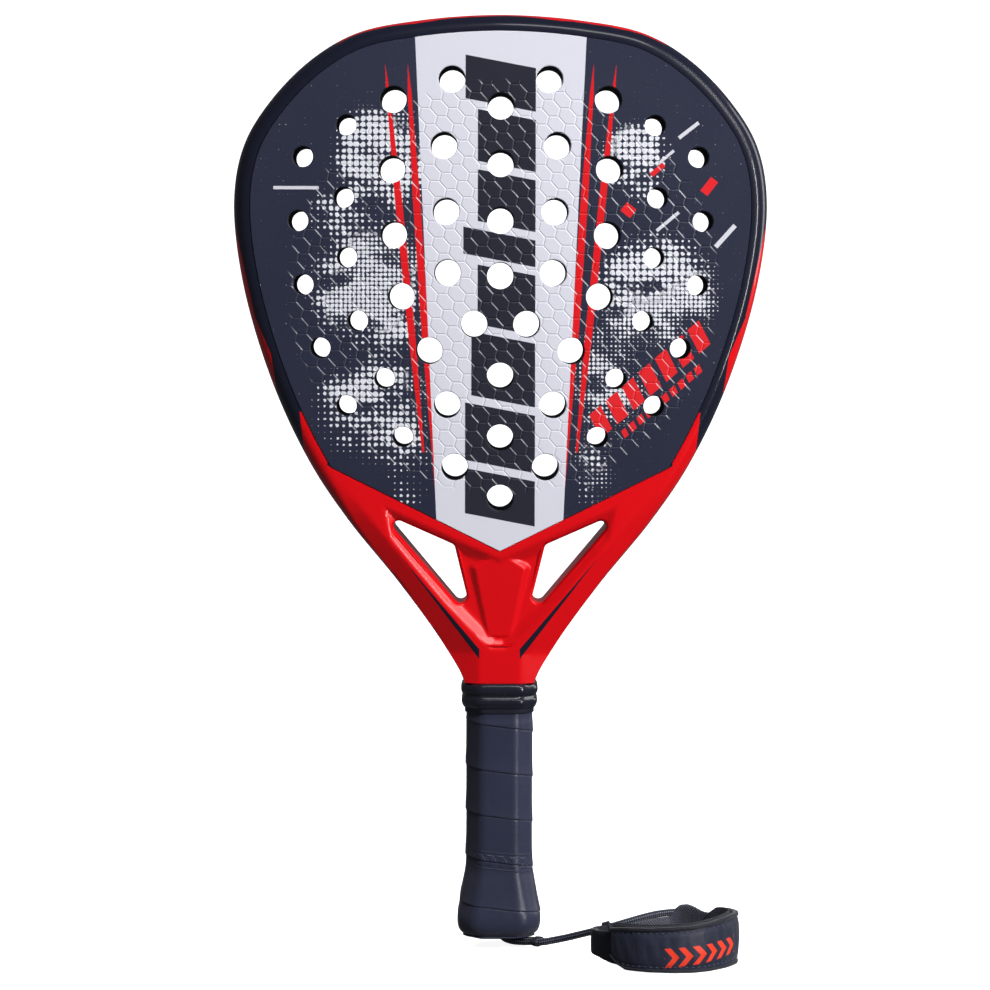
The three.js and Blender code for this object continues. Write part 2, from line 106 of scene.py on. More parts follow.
# The raised panel down the middle of the stem, and how deep it lies at its top and foot.
PANEL_TOP = 193.5
PANEL_HEIGHT = 40
STEM_PANEL = [(0, PANEL_TOP), (12, 186), (5.4, 153), (-5.4, 153), (-12, 186)]
STEM_DEPTHS = (0.7, 2.2)
STEM_SLOPE = 0.8
# The right opening's corners, each with its fillet's radius.
OPENING = [((58.5, 213.6), 2.6), ((22.2, 197.6), 3), ((12.9, 159.5), 3.2)]
EDGE_ROUND = 1.5
RELIEF_TOP = 245
# Radii of the soft edges between these surfaces.
BEVEL_BLEND, BASIN_BLEND, PANEL_BLEND, HOLLOW_BLEND, SHOULDER_BLEND = 0.5, 0.7, 0.45, 0.6, 0.35

# ---- Handle ----
GRIP_HALF = 16.3
GRIP_ASPECT = 1.1
GRIP_BEVEL = 7.5
GRIP_CORNER = 5.5
GRIP_THICKNESS = 2
GRIP_TOP = 129.1
# The grip's outside, its turned-in foot and its inside, as (height, half width).
GRIP_PROFILE = [
    (GRIP_TOP, GRIP_HALF), (42, GRIP_HALF), (36, 16.6), (30, 17.6), (20, 19.3), (13, 20.4), (9, 20.2),
    (6.2, 19.2), (4.2, 17.4),
]
GRIP_FOOT = [(3.75, 17.75), (3.6, 17.3), (3.8, 16.95), (4.4, 16.8), (5.3, 16.8)]
GRIP_INSIDE = [(GRIP_TOP, GRIP_HALF), (38, GRIP_HALF), (30, 17.7), (20, 19.2), (12, 20.4), (8, 20), (5.3, 18.8)]
WRAP_PITCH = 22.4
WRAP_STEP = 0.6
WRAP_START = 12.6
WRAP_GROOVE = 0.16
COLLAR_FOOT = 117
# The collar's beads, as (height, how far they stand out).
COLLAR_BEADS = [
    (COLLAR_FOOT, 0.1), (117.5, 0.45), (118.6, 0.95), (120, 1.3), (121.4, 1.25), (122.4, 0.75), (123, 0.55),
    (123.6, 0.75), (124.6, 1.3), (126.2, 1.6), (127.7, 1.4), (128.7, 0.9), (GRIP_TOP, 0.35),
]
TAPE_FOOT = 114.5
TAPE_THICKNESS = 0.4

# ---- Cord and wristband ----
CORD = 3.6
STRAND_OFFSET = 1.9
CORD_HEADING = math.radians(-32)
CORD_BEND = 8
CORD_TOP = 11.2
CORD_LANDS = 14
TAIL_REACH = 26
WHIP = (20.8, 24.4)
WHIP_HEIGHT = 1.3
CORD_ROUTE = [
    (31, -17.5, 3.8), (40, -22.5, 6.9), (48.5, -27.2, 10), (57, -28.6, 12.6), (66, -27.2, 15), (76, -23, 16.8),
    (84.5, -19.5, 17.3), (89.4, -18, 17.2),
]
KEEPER_AT = (52.7, -28.1, 11.3)
BAND_PATH = [
    (54.5, -56), (62.3, -62.4), (71, -66.8), (84.5, -68.5), (94, -66.8), (103, -60.5), (110.5, -51),
    (113, -42.5), (109.5, -35), (103, -31),
]
FRONT_TAB_PATH = [(58.5, -59.3), (53.4, -54.6), (48.5, -49.5), (45.6, -43.5), (47, -37.5), (52.5, -32.5)]
REAR_TAB_PATH = [
    (105.5, -32.7), (101.7, -30.3), (96.8, -26.6), (92.6, -22.4), (88.8, -20.2), (84.6, -20.6), (77, -26),
    (69, -30.8), (60.5, -32.8),
]
# The tabs along their length, as (share of the length, low, high, half thickness).
FRONT_TAB = [
    (0, -1.2, 14.5, 1.0), (0.2, -0.6, 14.6, 1.3), (0.42, 1.2, 14.2, 1.6), (0.85, 2.4, 13.6, 1.4),
    (1, 6, 13, 0.8),
]
REAR_TAB = [
    (0, 8, 19, 0.8), (0.14, 8, 19.6, 0.9), (0.24, 9, 21.2, 1.3), (0.33, 10.2, 21.8, 2.2),
    (0.4, 10.6, 21.2, 2.4), (0.45, 10.8, 18.8, 2), (0.5, 10.8, 15.6, 1.4), (0.68, 10.4, 15.8, 1),
    (0.86, 9.4, 14.9, 0.9), (1, 8.4, 12.8, 0.6),
]
# The band's lower and upper edge along its length, as (share of the length, low, high).
BAND_EDGES = [
    (0, 2.8, 17), (0.05, -0.6, 17.6), (0.1, -2.5, 18.2), (0.45, -2.6, 20.2), (0.7, -2.6, 22.6),
    (0.8, -2.6, 22.4), (0.9, -1.2, 22.4), (0.96, 1.5, 22.2), (1, 5, 19.6),
]
# How much higher the padding and lining stand than the outer cloth.
LINING_RISE = [(0, 2.8), (0.1, 2), (0.45, 1.5), (0.72, 0.9), (0.9, 1.6), (1, 1)]
# How far the bindings cover the band's edges, and how far out its cloth lies at its edge and its middle.
LOW_COVER, HIGH_COVER = 0.9, 0.8
CLOTH_OUT, CLOTH_CROWN = 1.9, 1.1
# The rows of stitches, as shares of the cloth's height.
STITCH_ROWS = (0.09, 0.9)
STITCH_DENT = 0.35
STITCH_THICK = 0.34

# ---- Camera ----
CAMERA_AT = (-3.95, -1661.7, 325)
CAMERA_AIM = (-2.35, 0, 220.95)
CAMERA_LENS = 122.95
CAMERA_ROLL = math.radians(0.12)


# ---- Curves and measures in the plan ----
def catmull(points, per_span=24):
    """A centripetal Catmull-Rom curve through points, as an array of points."""
    p = np.array(points, float)
    p = np.vstack([2 * p[0] - p[1], p, 2 * p[-1] - p[-2]])
    knots = np.concatenate([[0], np.cumsum(np.linalg.norm(np.diff(p, axis=0), axis=1) ** 0.5)])
    out = []
    for i in range(1, len(p) - 2):
        t = np.linspace(knots[i], knots[i + 1], per_span, endpoint=False)[:, None]
        t0, t1, t2, t3 = knots[i - 1:i + 3]
        a1 = (t1 - t) / (t1 - t0) * p[i - 1] + (t - t0) / (t1 - t0) * p[i]
        a2 = (t2 - t) / (t2 - t1) * p[i] + (t - t1) / (t2 - t1) * p[i + 1]
        a3 = (t3 - t) / (t3 - t2) * p[i + 1] + (t - t2) / (t3 - t2) * p[i + 2]
        b1 = (t2 - t) / (t2 - t0) * a1 + (t - t0) / (t2 - t0) * a2
        b2 = (t3 - t) / (t3 - t1) * a2 + (t - t1) / (t3 - t1) * a3
        out.append((t2 - t) / (t2 - t1) * b1 + (t - t1) / (t2 - t1) * b2)
    return np.vstack(out + [p[-2:-1]])


def even(points, count):
    """The same line as count + 1 points an equal distance apart."""
    points = np.array(points, float)
    length = np.concatenate([[0], np.cumsum(np.linalg.norm(np.diff(points, axis=0), axis=1))])
    at = np.linspace(0, length[-1], count + 1)
    return np.column_stack([np.interp(at, length, points[:, k]) for k in range(points.shape[1])])


def spaced(points, step):
    """The same line as points about one step apart."""
    length = np.linalg.norm(np.diff(np.array(points, float), axis=0), axis=1).sum()
    return even(points, max(1, round(length / step)))


def outward(line):
    """Unit directions across a plan line, to its right as it runs."""
    along = np.gradient(line, axis=0)
    along /= np.linalg.norm(along, axis=1)[:, None]
    return np.column_stack([along[:, 1], -along[:, 0]])


def distance(points, line):
    """How far each point is from a line of points."""
    points, line = np.asarray(points, float), np.asarray(line, float)
    best = np.full(len(points), 1e9)
    for a, b in zip(line[:-1], line[1:]):
        ab = b - a
        t = np.clip((points - a) @ ab / max(ab @ ab, 1e-12), 0, 1)[:, None]
        best = np.minimum(best, np.linalg.norm(points - a - t * ab, axis=1))
    return best


def inside(points, polygon):
    """Which points are inside a polygon."""
    points, polygon = np.asarray(points, float), np.asarray(polygon, float)
    hit = np.zeros(len(points), bool)
    for (x0, z0), (x1, z1) in zip(polygon, np.roll(polygon, -1, axis=0)):
        crosses = (z0 > points[:, 1]) != (z1 > points[:, 1])
        if z0 != z1:
            hit ^= crosses & (points[:, 0] < x0 + (points[:, 1] - z0) * (x1 - x0) / (z1 - z0))
    return hit


def mirrored(right):
    """A polygon from its right half, listed from the foot to the top."""
    right = [tuple(p) for p in right]
    left = [(-x, z) for x, z in reversed(right) if x > 1e-9]
    return np.array(right + left)


def closed(polygon):
    return np.vstack([polygon, polygon[:1]])


def filleted(corners, steps=9):
    """A polygon whose corners are arcs, from ((x, z), radius) corners."""
    points = [np.array(p, float) for p, _ in corners]
    out = []
    for i, (_, radius) in enumerate(corners):
        here = points[i]
        before = points[i - 1] - here
        after = points[(i + 1) % len(points)] - here
        before, after = before / np.linalg.norm(before), after / np.linalg.norm(after)
        half = math.acos(float(np.clip(before @ after, -1, 1))) / 2
        middle = (before + after) / np.linalg.norm(before + after)
        centre = here + middle * radius / math.sin(half)
        start = here + before * radius / math.tan(half) - centre
        stop = here + after * radius / math.tan(half) - centre
        a0, a1 = math.atan2(start[1], start[0]), math.atan2(stop[1], stop[0])
        turn = (a1 - a0 + math.pi) % (2 * math.pi) - math.pi
        for k in range(steps + 1):
            a = a0 + turn * k / steps
            out.append(centre + radius * np.array([math.cos(a), math.sin(a)]))
    return np.array(out)


def smoothstep(low, high, value):
    t = np.clip((np.asarray(value, float) - low) / (high - low), 0, 1)
    return t * t * (3 - 2 * t)


def vee(x, lift=0.0):
    """The height of the V under the faces."""
    return VEE_APEX + lift + VEE_SLOPE * np.abs(x)


# The whole outline, from the left of the neck over the tip to the right.
whole_outline = catmull([(-x, z) for x, z in reversed(OUTLINE[1:])] + OUTLINE)
STATIONS = 440
stations = even(whole_outline, STATIONS)


def inset(by, stop=0.01):
    """The outline moved inwards, its two sides ended at the distance stop from the centre line."""
    moved = stations + by * outward(stations)
    half = len(stations) // 2
    right = [(0.0, moved[half][1])]
    for x, z in moved[half + 1:]:
        if x < stop and right[-1][0] > stop:
            x0, z0 = right[-1]
            right.append((stop, z0 + (z - z0) * (x0 - stop) / (x0 - x)))
            break
        right.append((x, z))
    return np.array([(-x, z) for x, z in reversed(right[1:])] + right)


def above_neck(line):
    """The part of an inset line above the neck's foot, ended exactly on it."""
    first = np.argmax(line[:, 1] > NECK_HEIGHT + 1e-6)
    foot = line[first - 1] + (line[first] - line[first - 1]) * (
        (NECK_HEIGHT - line[first - 1][1]) / (line[first][1] - line[first - 1][1]))
    half = np.vstack([foot, line[first:len(line) // 2 + 1]])
    return np.vstack([half, half[-2::-1] * (-1, 1)])


# ---- Meshes ----
def mesh_object(name, vertices, faces, smooth=40):
    """A new object from vertices in drawing millimetres, smooth except at edges over an angle."""
    mesh = bpy.data.meshes.new(name)
    placed = (np.asarray(vertices, float) - (0, 0, GRIP_CENTRE)) * MM
    mesh.from_pydata(placed.tolist(), [], [tuple(int(i) for i in f) for f in faces])
    mesh.validate()
    mesh.shade_smooth()
    mesh.set_sharp_from_angle(angle=math.radians(smooth))
    made = bpy.data.objects.new(name, mesh)
    bpy.context.scene.collection.objects.link(made)
    return made


def plan_triangles(loops, lines, extra):
    """Triangles over points of the plan, with closed loops and open lines kept as edges."""
    points, edges = [], []
    for line, is_closed in [(loop, True) for loop in loops] + [(line, False) for line in lines]:
        first = len(points)
        points.extend(map(tuple, line))
        edges.extend((first + i, first + i + 1) for i in range(len(line) - 1))
        if is_closed:
            edges.append((first + len(line) - 1, first))
    points.extend(map(tuple, extra))
    made = delaunay_2d_cdt([Vector(p) for p in points], edges, [], 0, 1e-5)
    plan = np.array([tuple(v) for v in made[0]])
    triangles = np.array([f for f in made[2] if len(f) == 3])
    a, b, c = (plan[triangles[:, k]] for k in range(3))
    area = (b[:, 0] - a[:, 0]) * (c[:, 1] - a[:, 1]) - (b[:, 1] - a[:, 1]) * (c[:, 0] - a[:, 0])
    triangles[area < 0] = triangles[area < 0][:, ::-1]
    return plan, triangles[np.abs(area) > 1e-6]


def centres(plan, triangles):
    return plan[triangles].mean(axis=1)


def moulding(name, plan, triangles, front, back, smooth=40):
    """A closed solid over triangles of the plan, between its front and back depths."""
    used = np.unique(triangles)
    index = np.full(len(plan), -1)
    index[used] = np.arange(len(used))
    tri = index[triangles]
    count = len(used)
    xz = plan[used]
    vertices = np.vstack([
        np.column_stack([xz[:, 0], front[used], xz[:, 1]]),
        np.column_stack([xz[:, 0], back[used], xz[:, 1]]),
    ])
    directed = {(a, b) for t in tri.tolist() for a, b in ((t[0], t[1]), (t[1], t[2]), (t[2], t[0]))}
    walls = [(b, a, a + count, b + count) for a, b in directed if (b, a) not in directed]
    walls.sort()
    faces = tri.tolist() + [(t[2] + count, t[1] + count, t[0] + count) for t in tri.tolist()] + walls
    return mesh_object(name, vertices, faces, smooth)


def turns(count):
    """Evenly spaced angles round a circle."""
    return np.arange(count) * 2 * math.pi / count


def ring(centre, radius, sides=36):
    turn = turns(sides)
    return np.array(centre) + radius * np.column_stack([np.cos(turn), np.sin(turn)])


HOLES = [
    ((side * x, z), radius)
    for places, radius in ((LARGE_HOLES, LARGE_HOLE), (SMALL_HOLES, SMALL_HOLE))
    for x, z in places
    for side in ((1,) if x == 0 else (-1, 1))
]


def off_holes(points):
    """Which points of the plan are outside every hole."""
    off = np.ones(len(points), bool)
    for centre, radius in HOLES:
        off &= np.linalg.norm(points - centre, axis=1) > radius * 0.996
    return off


def ring_faces(rings, count, tube=False, first=0):
    """Faces through rings of count points: capped at both ends, or joined as a ring of rings."""
    faces = []
    for r in range(rings if tube else rings - 1):
        low, high = first + r * count, first + (r + 1) % rings * count
        faces += [(low + i, low + (i + 1) % count, high + (i + 1) % count, high + i) for i in range(count)]
    if not tube:
        last = first + (rings - 1) * count
        faces += [tuple(range(first, first + count))[::-1], tuple(range(last, last + count))]
    return faces


def loft(name, rings, smooth=40, tube=False):
    """A closed solid through rings with equal counts."""
    return mesh_object(name, np.vstack(rings), ring_faces(len(rings), len(rings[0]), tube), smooth)


def add_values(piece, name, values):
    """A value at each of a piece's points, for its material."""
    piece.data.attributes.new(name, "FLOAT", "POINT").data.foreach_set("value", np.asarray(values, np.float32))


# ---- Camera ----
def place(x, y, z):
    """A drawing position in the scene."""
    return Vector((x, y, z - GRIP_CENTRE)) * MM


def make_camera():
    data = bpy.data.cameras.new("camera")
    data.lens = CAMERA_LENS
    data.sensor_width = 36
    camera = bpy.data.objects.new("camera", data)
    bpy.context.scene.collection.objects.link(camera)
    camera.location = place(*CAMERA_AT)
    turn = (place(*CAMERA_AIM) - camera.location).to_track_quat("-Z", "Y")
    camera.rotation_euler = turn.to_euler()
    camera.rotation_euler.rotate_axis("Z", CAMERA_ROLL)
    bpy.context.scene.camera = camera


make_camera()


# ---- Cord ----
def strand_point(along, beside, height):
    """A point of a strand near the butt, along and beside the cord's heading."""
    ahead, aside = math.cos(CORD_HEADING), math.sin(CORD_HEADING)
    return (along * ahead - beside * aside, along * aside + beside * ahead, height)


def strand_out(beside, reach):
    """Down out of the butt's hole, round the bend and along the table."""
    floor = TABLE + CORD / 2
    points = [strand_point(0, beside, CORD_TOP), strand_point(0, beside, floor + CORD_BEND)]
    for turn in (30, 60, 90):
        a = math.radians(turn)
        height = floor + CORD_BEND * (1 - math.sin(a))
        points.append(strand_point(CORD_BEND * (1 - math.cos(a)), beside, height))
    points.append(strand_point(CORD_LANDS, beside, floor))
    points.append(strand_point(WHIP[0], beside, WHIP_HEIGHT))
    points.append(strand_point(reach, beside, WHIP_HEIGHT))
    return points


def frames_along(path):
    """Directions along and across a line in space, turned as little as it allows."""
    along = np.gradient(path, axis=0)
    along /= np.linalg.norm(along, axis=1)[:, None]
    across = np.cross(along[0], (0.3, 0.9, 0.2))
    sides = []
    for t in along:
        across = across - t * (across @ t)
        across = across / np.linalg.norm(across)
        sides.append(across)
    sides = np.array(sides)
    return along, sides, np.cross(along, sides)


def braided(name, points, diameter, step=0.32, sides=32, strands=4, pitch=9):
    """A round braided cord along points, its strands crossing as raised diamonds."""
    path = spaced(catmull(points, 30), step)
    _, u, v = frames_along(path)
    turn = turns(sides)
    rings, lifts = [], []
    for i, p in enumerate(path):
        wound = strands * i * step * 2 * math.pi / pitch
        lift = np.cos(strands * turn + wound) * np.cos(strands * turn - wound)
        radius = diameter / 2 * (1 + 0.05 * (lift - 1))
        end = min(i, len(path) - 1 - i) * step
        radius = radius * math.sqrt(max(0.05, 1 - max(0, 1 - end / (diameter / 2.5)) ** 2))
        rings.append(p + radius[:, None] * (np.cos(turn)[:, None] * u[i] + np.sin(turn)[:, None] * v[i]))
        lifts += list(lift)
    made = loft(name, rings, 60)
    add_values(made, "lift", lifts)
    return made, path


wrist_cord, cord_path = braided("cord_main", strand_out(-STRAND_OFFSET, WHIP[1]) + CORD_ROUTE, CORD)
cord_end, tail_path = braided("cord_end", strand_out(STRAND_OFFSET, TAIL_REACH), CORD)


# ---- Head ----
def face_outline(by, lift):
    """The outline moved inwards, above the V: from its left corner over the tip, and the V's point last."""
    line = inset(by)
    over = line[:, 1] - vee(line[:, 0], lift)
    middle = first = len(line) // 2
    while over[first - 1] > 0:
        first -= 1
    share = over[first] / (over[first] - over[first - 1])
    corner = line[first] + share * (line[first - 1] - line[first])
    left = np.vstack([corner, line[first:middle]])
    return np.vstack([left, line[middle], left[::-1] * (-1, 1), (0, VEE_APEX + lift)])


def smin(a, b, k):
    """The smaller of two values, with a soft change-over."""
    h = np.clip(0.5 + 0.5 * (b - a) / k, 0, 1)
    return b * (1 - h) + a * h - k * h * (1 - h)


def smax(a, b, k):
    return -smin(-a, -b, k)


def signed(points, polygon):
    """Distance inside a polygon, negative outside it."""
    return np.where(inside(points, polygon), 1, -1) * distance(points, closed(polygon))


openings = [filleted(OPENING), filleted([((-x, z), r) for (x, z), r in reversed(OPENING)])]
basin = mirrored(BASIN)
basin = np.vstack([basin[:len(BASIN)], [(0, vee(0, -VEE_CREST))], basin[len(BASIN):]])


def grown(polygon, by):
    """A counter-clockwise convex polygon moved outwards."""
    around = np.roll(polygon, -1, axis=0) - np.roll(polygon, 1, axis=0)
    around /= np.linalg.norm(around, axis=1)[:, None]
    way = np.column_stack([around[:, 1], -around[:, 0]])
    centre = polygon.mean(axis=0)
    if ((polygon - centre) * way).sum() < 0:
        way = -way
    return polygon + by * way


def head_depth(plan, from_edge):
    """How far the moulding stands in front of the middle plane, at points of the plan."""
    x, z = plan[:, 0], plan[:, 1]
    full = np.interp(z, [NECK_HEIGHT, 196, TAPER_TOP], [NECK_HALF_Y, 18.75, HALF_THICKNESS])
    round_off = np.clip((SHOULDER_WIDTH - from_edge) / SHOULDER_WIDTH, 0, 1)
    shoulder = HALF_THICKNESS - SHOULDER_DEPTH * (1 - np.sqrt(np.maximum(0, 1 - round_off ** 2)))
    crease = np.interp(z, [p[1] for p in OUTER_CREASE], [p[0] for p in OUTER_CREASE])
    fade = 1 - smoothstep(*BEVEL_FADE, z)
    bevel = full - OUTER_SLOPE * fade * (np.abs(x) - crease)
    depth = smin(full, bevel, BEVEL_BLEND)
    low = z < RELIEF_TOP
    deep = signed(plan[low], basin)
    floor = smax(full[low] - BASIN_SLOPE * deep, full[low] - BASIN_DROP, BASIN_BLEND)
    share = np.clip((PANEL_TOP - z[low]) / PANEL_HEIGHT, 0, 1)
    panel = full[low] - STEM_DEPTHS[0] - (STEM_DEPTHS[1] - STEM_DEPTHS[0]) * share
    outside = np.maximum(0, -signed(plan[low], np.array(STEM_PANEL)))
    floor = smax(floor, panel - STEM_SLOPE * outside, PANEL_BLEND)
    depth[low] = smin(depth[low], floor, HOLLOW_BLEND)
    for opening in openings:
        near = np.clip(EDGE_ROUND - distance(plan[low], closed(opening)), 0, EDGE_ROUND)
        depth[low] -= EDGE_ROUND - np.sqrt(EDGE_ROUND ** 2 - near ** 2)
    return smin(depth, shoulder, SHOULDER_BLEND)


def relief_grid(inner):
    """Staggered points over the throat, clear of the openings and of the line between frame and bridge."""
    xs = np.arange(-GRID_HALF, GRID_HALF + 0.01, GRID_STEP)
    zs = np.arange(NECK_HEIGHT + 0.6, GRID_TOP, GRID_STEP)
    grid = np.array([(x + (GRID_STEP / 2 if k % 2 else 0), z) for k, z in enumerate(zs) for x in xs])
    grid = grid[inside(grid, above_neck(inset(SEAT_INSET + GRID_CLEAR)))]
    grid = grid[grid[:, 1] < vee(grid[:, 0], -2 * GAP)]
    for opening in openings:
        grid = grid[~inside(grid, grown(opening, OPENING_LINES[-1] + GRID_CLEAR))]
    return grid[distance(grid, closed(inner)) > GRID_CLEAR]


def make_head():
    """The plan's points and triangles, the depths and edge distances of the points, and a mask for the bridge."""
    outer = above_neck(inset(0))
    inner = inset(FRAME_WIDTH, CROTCH_HALF)
    land = face_outline(FRAME_WIDTH, VEE_LAND)
    seat = face_outline(SEAT_INSET, -GAP)
    seat_floor = face_outline(SEAT_INSET + SEAT_WALL, -GAP + SEAT_WALL)
    lines = [above_neck(inset(by)) for by in RIM_LINES] + [v[[-2, -1, 0]] for v in (land, seat, seat_floor)]
    loops = [outer, inner] + openings + [grown(opening, by) for by in OPENING_LINES for opening in openings]
    plan, triangles = plan_triangles(loops, lines, relief_grid(inner))
    middle = centres(plan, triangles)
    keep = inside(middle, outer) & ~inside(middle, land)
    for opening in openings:
        keep &= ~inside(middle, opening)
    triangles, middle = triangles[keep], middle[keep]
    from_edge = distance(plan, stations)
    depth = head_depth(plan, from_edge)
    sunk = inside(plan, face_outline(SEAT_INSET + SEAT_WALL / 2, -GAP + SEAT_WALL / 2))
    depth[sunk] = HALF_THICKNESS - SKIN
    return plan, triangles, depth, from_edge, inside(middle, inner)


def joined(name, parts):
    """One object from several closed meshes."""
    bpy.ops.object.select_all(action="DESELECT")
    for part in parts:
        part.select_set(True)
    bpy.context.view_layer.objects.active = parts[0]
    bpy.ops.object.join()
    parts[0].name = parts[0].data.name = name
    return parts[0]


def rounded_box(half_x, half_y, radius, height, steps=5):
    corners = [(half_x, -half_y), (half_x, half_y), (-half_x, half_y), (-half_x, -half_y)]
    return [(x, y, height) for x, y in filleted([(c, radius) for c in corners], steps)]


plan, head_triangles, depth, from_edge, of_bridge = make_head()
head = moulding("frame_moulding", plan, head_triangles[~of_bridge], -depth, depth, 32)
frame_points = np.unique(head_triangles[~of_bridge])
add_values(head, "from_edge", np.tile(from_edge[frame_points], 2))
shaft = loft("frame_shaft", [rounded_box(*SHAFT_HALF, 1.5, height) for height in (SHAFT_FOOT, NECK_HEIGHT + 1)])
add_values(shaft, "from_edge", np.full(len(shaft.data.vertices), 20))
head = joined("frame_moulding", [head, shaft])
bridge = moulding("throat_moulding", plan, head_triangles[of_bridge], -depth, depth, 32)


def face_sheet(name, front):
    outline = face_outline(FACE_INSET, 0)
    loops = [outline, face_outline(FACE_INSET + 0.25, 0.28)]
    for centre, radius in HOLES:
        loops += [ring(centre, radius), ring(centre, radius + HOLE_CHAMFER)]
    plan, triangles = plan_triangles(loops, [], [])
    middle = centres(plan, triangles)
    edge = distance(plan, closed(outline)) < 0.01
    for centre, radius in HOLES:
        edge |= np.abs(np.linalg.norm(plan - centre, axis=1) - radius) < 0.01
    near = np.full(len(plan), HALF_THICKNESS - SKIN)
    far = np.where(edge, HALF_THICKNESS - CHAMFER_DEPTH, HALF_THICKNESS)
    sides = (-far, -near) if front else (near, far)
    return moulding(name, plan, triangles[inside(middle, outline) & off_holes(middle)], *sides, 30)


def foam():
    outline = face_outline(FRAME_WIDTH + GAP, VEE_LAND + GAP)
    plan, triangles = plan_triangles([outline] + [ring(*hole) for hole in HOLES], [], [])
    middle = centres(plan, triangles)
    half = np.full(len(plan), HALF_THICKNESS - SKIN - 0.02)
    return moulding("core_foam", plan, triangles[inside(middle, outline) & off_holes(middle)], -half, half, 30)


front_sheet = face_sheet("front_sheet", True)
back_sheet = face_sheet("back_sheet", False)
core = foam()


# ---- Handle ----
ANGLES = -math.pi + turns(120)


def octagon(half, radius=GRIP_CORNER):
    """Distances from the axis round a soft-cornered octagon, at ANGLES."""
    x, y = half, half - GRIP_ASPECT
    bx, by = x - GRIP_BEVEL, y - GRIP_BEVEL
    corners = [(bx, -y), (x, -by), (x, by), (bx, y), (-bx, y), (-x, by), (-x, -by), (-bx, -y)]
    points = filleted([(c, radius) for c in corners], 6)
    angle = np.arctan2(points[:, 1], points[:, 0])
    order = np.argsort(angle)
    angle, points = angle[order], points[order]
    angle = np.concatenate([angle[-1:] - 2 * math.pi, angle, angle[:1] + 2 * math.pi])
    points = np.vstack([points[-1:], points, points[:1]])
    out = []
    for a in ANGLES:
        k = np.searchsorted(angle, a, side="right") - 1
        p, side = points[k], points[k + 1] - points[k]
        out.append((p[0] * side[1] - p[1] * side[0]) / (math.cos(a) * side[1] - math.sin(a) * side[0]))
    return np.array(out)


def handle_ring(distances, height):
    heights = np.broadcast_to(height, ANGLES.shape)
    return np.column_stack([distances * np.cos(ANGLES), distances * np.sin(ANGLES), heights])


def profile_at(profile, heights):
    """Half widths at heights, from a smooth curve through (height, half width) points."""
    curve = spaced(catmull(profile, 12), 0.3)
    order = np.argsort(curve[:, 0])
    return np.interp(heights, curve[order, 0], curve[order, 1])


def wrap_lift(height):
    """The overlapping edge of the wound strip, rising gently to the right side's foot."""
    front = ANGLES + math.pi / 2
    turn = ANGLES / (2 * math.pi) - 0.068 * np.sin(front)
    phase = (height - WRAP_START) / WRAP_PITCH + turn
    share = phase - np.floor(phase)
    along = share * WRAP_PITCH
    lift = WRAP_STEP * (0.15 + 0.85 * np.exp(-along / 5)) * smoothstep(0, 0.5, along)
    groove = sum(WRAP_GROOVE * np.exp(-((along - at) / 0.35) ** 2) for at in (0.05, WRAP_PITCH))
    return (lift - groove) * smoothstep(113, 109, height) * smoothstep(6, 11, height)


def make_grip():
    rings = []
    sections = {}
    heights = np.arange(GRIP_TOP, GRIP_PROFILE[-1][0], -0.28)
    for height, half in zip(heights, profile_at(GRIP_PROFILE, heights)):
        # Towards the flared foot the eight sides turn rounder.
        rounder = 3 * float(smoothstep(34, 16, height))
        key = (round(float(half), 2), round(GRIP_CORNER + rounder, 1))
        if key not in sections:
            sections[key] = octagon(*key)
        rings.append(handle_ring(sections[key] + wrap_lift(height), height))
    rings += [handle_ring(octagon(half), height) for height, half in GRIP_FOOT]
    for height in (8, 12, 20, 30, 38, GRIP_TOP):
        half = float(profile_at(GRIP_INSIDE, height))
        rings.append(handle_ring(octagon(half - GRIP_THICKNESS), height))
    return loft("grip_wrap", rings, 50, tube=True)


def make_collar():
    inner = GRIP_HALF + 2 * GAP + TAPE_THICKNESS
    side = ANGLES + math.pi / 2
    cell = np.mod(side / 0.098 + 0.5, 1) - 0.5
    rings = []
    for height, bead in spaced(catmull(COLLAR_BEADS, 10), 0.22):
        # Small raised bars round the lower bead's front.
        bars = smoothstep(0.34, 0.22, np.abs(cell)) * smoothstep(1.35, 0.95, abs(height - 120.4))
        rings.append(handle_ring(octagon(inner + bead) + 0.22 * bars * (np.abs(side) < 0.62), height))
    rings += [handle_ring(octagon(inner), height) for height in (GRIP_TOP, 123, COLLAR_FOOT)]
    return loft("collar_ring", rings, 50, tube=True)


def make_tape():
    inner = GRIP_HALF + GAP
    outside = [(GRIP_TOP, 0.25), (128.8, 0), (121, 0), (114.8, 0), (TAPE_FOOT, 0.25)]
    rings = [handle_ring(octagon(inner + TAPE_THICKNESS - chamfer), height) for height, chamfer in outside]
    rings += [handle_ring(octagon(inner), height) for height in (TAPE_FOOT, 121, GRIP_TOP)]
    return loft("handle_tape", rings, 50, tube=True)


grip = make_grip()
collar = make_collar()
tape = make_tape()


# ---- Small parts of the cord ----
def sections_along(path, shape):
    """Rings round a line: shape(distance along) gives (across, up) points."""
    path = np.asarray(path, float)
    along, _, _ = frames_along(path)
    rings = []
    run = 0.0
    for i, (p, t) in enumerate(zip(path, along)):
        if i:
            run += np.linalg.norm(path[i] - path[i - 1])
        across = np.cross((0, 0, 1), t)
        across /= np.linalg.norm(across)
        up = np.cross(t, across)
        rings.append([p + a * across + b * up for a, b in shape(run)])
    return rings


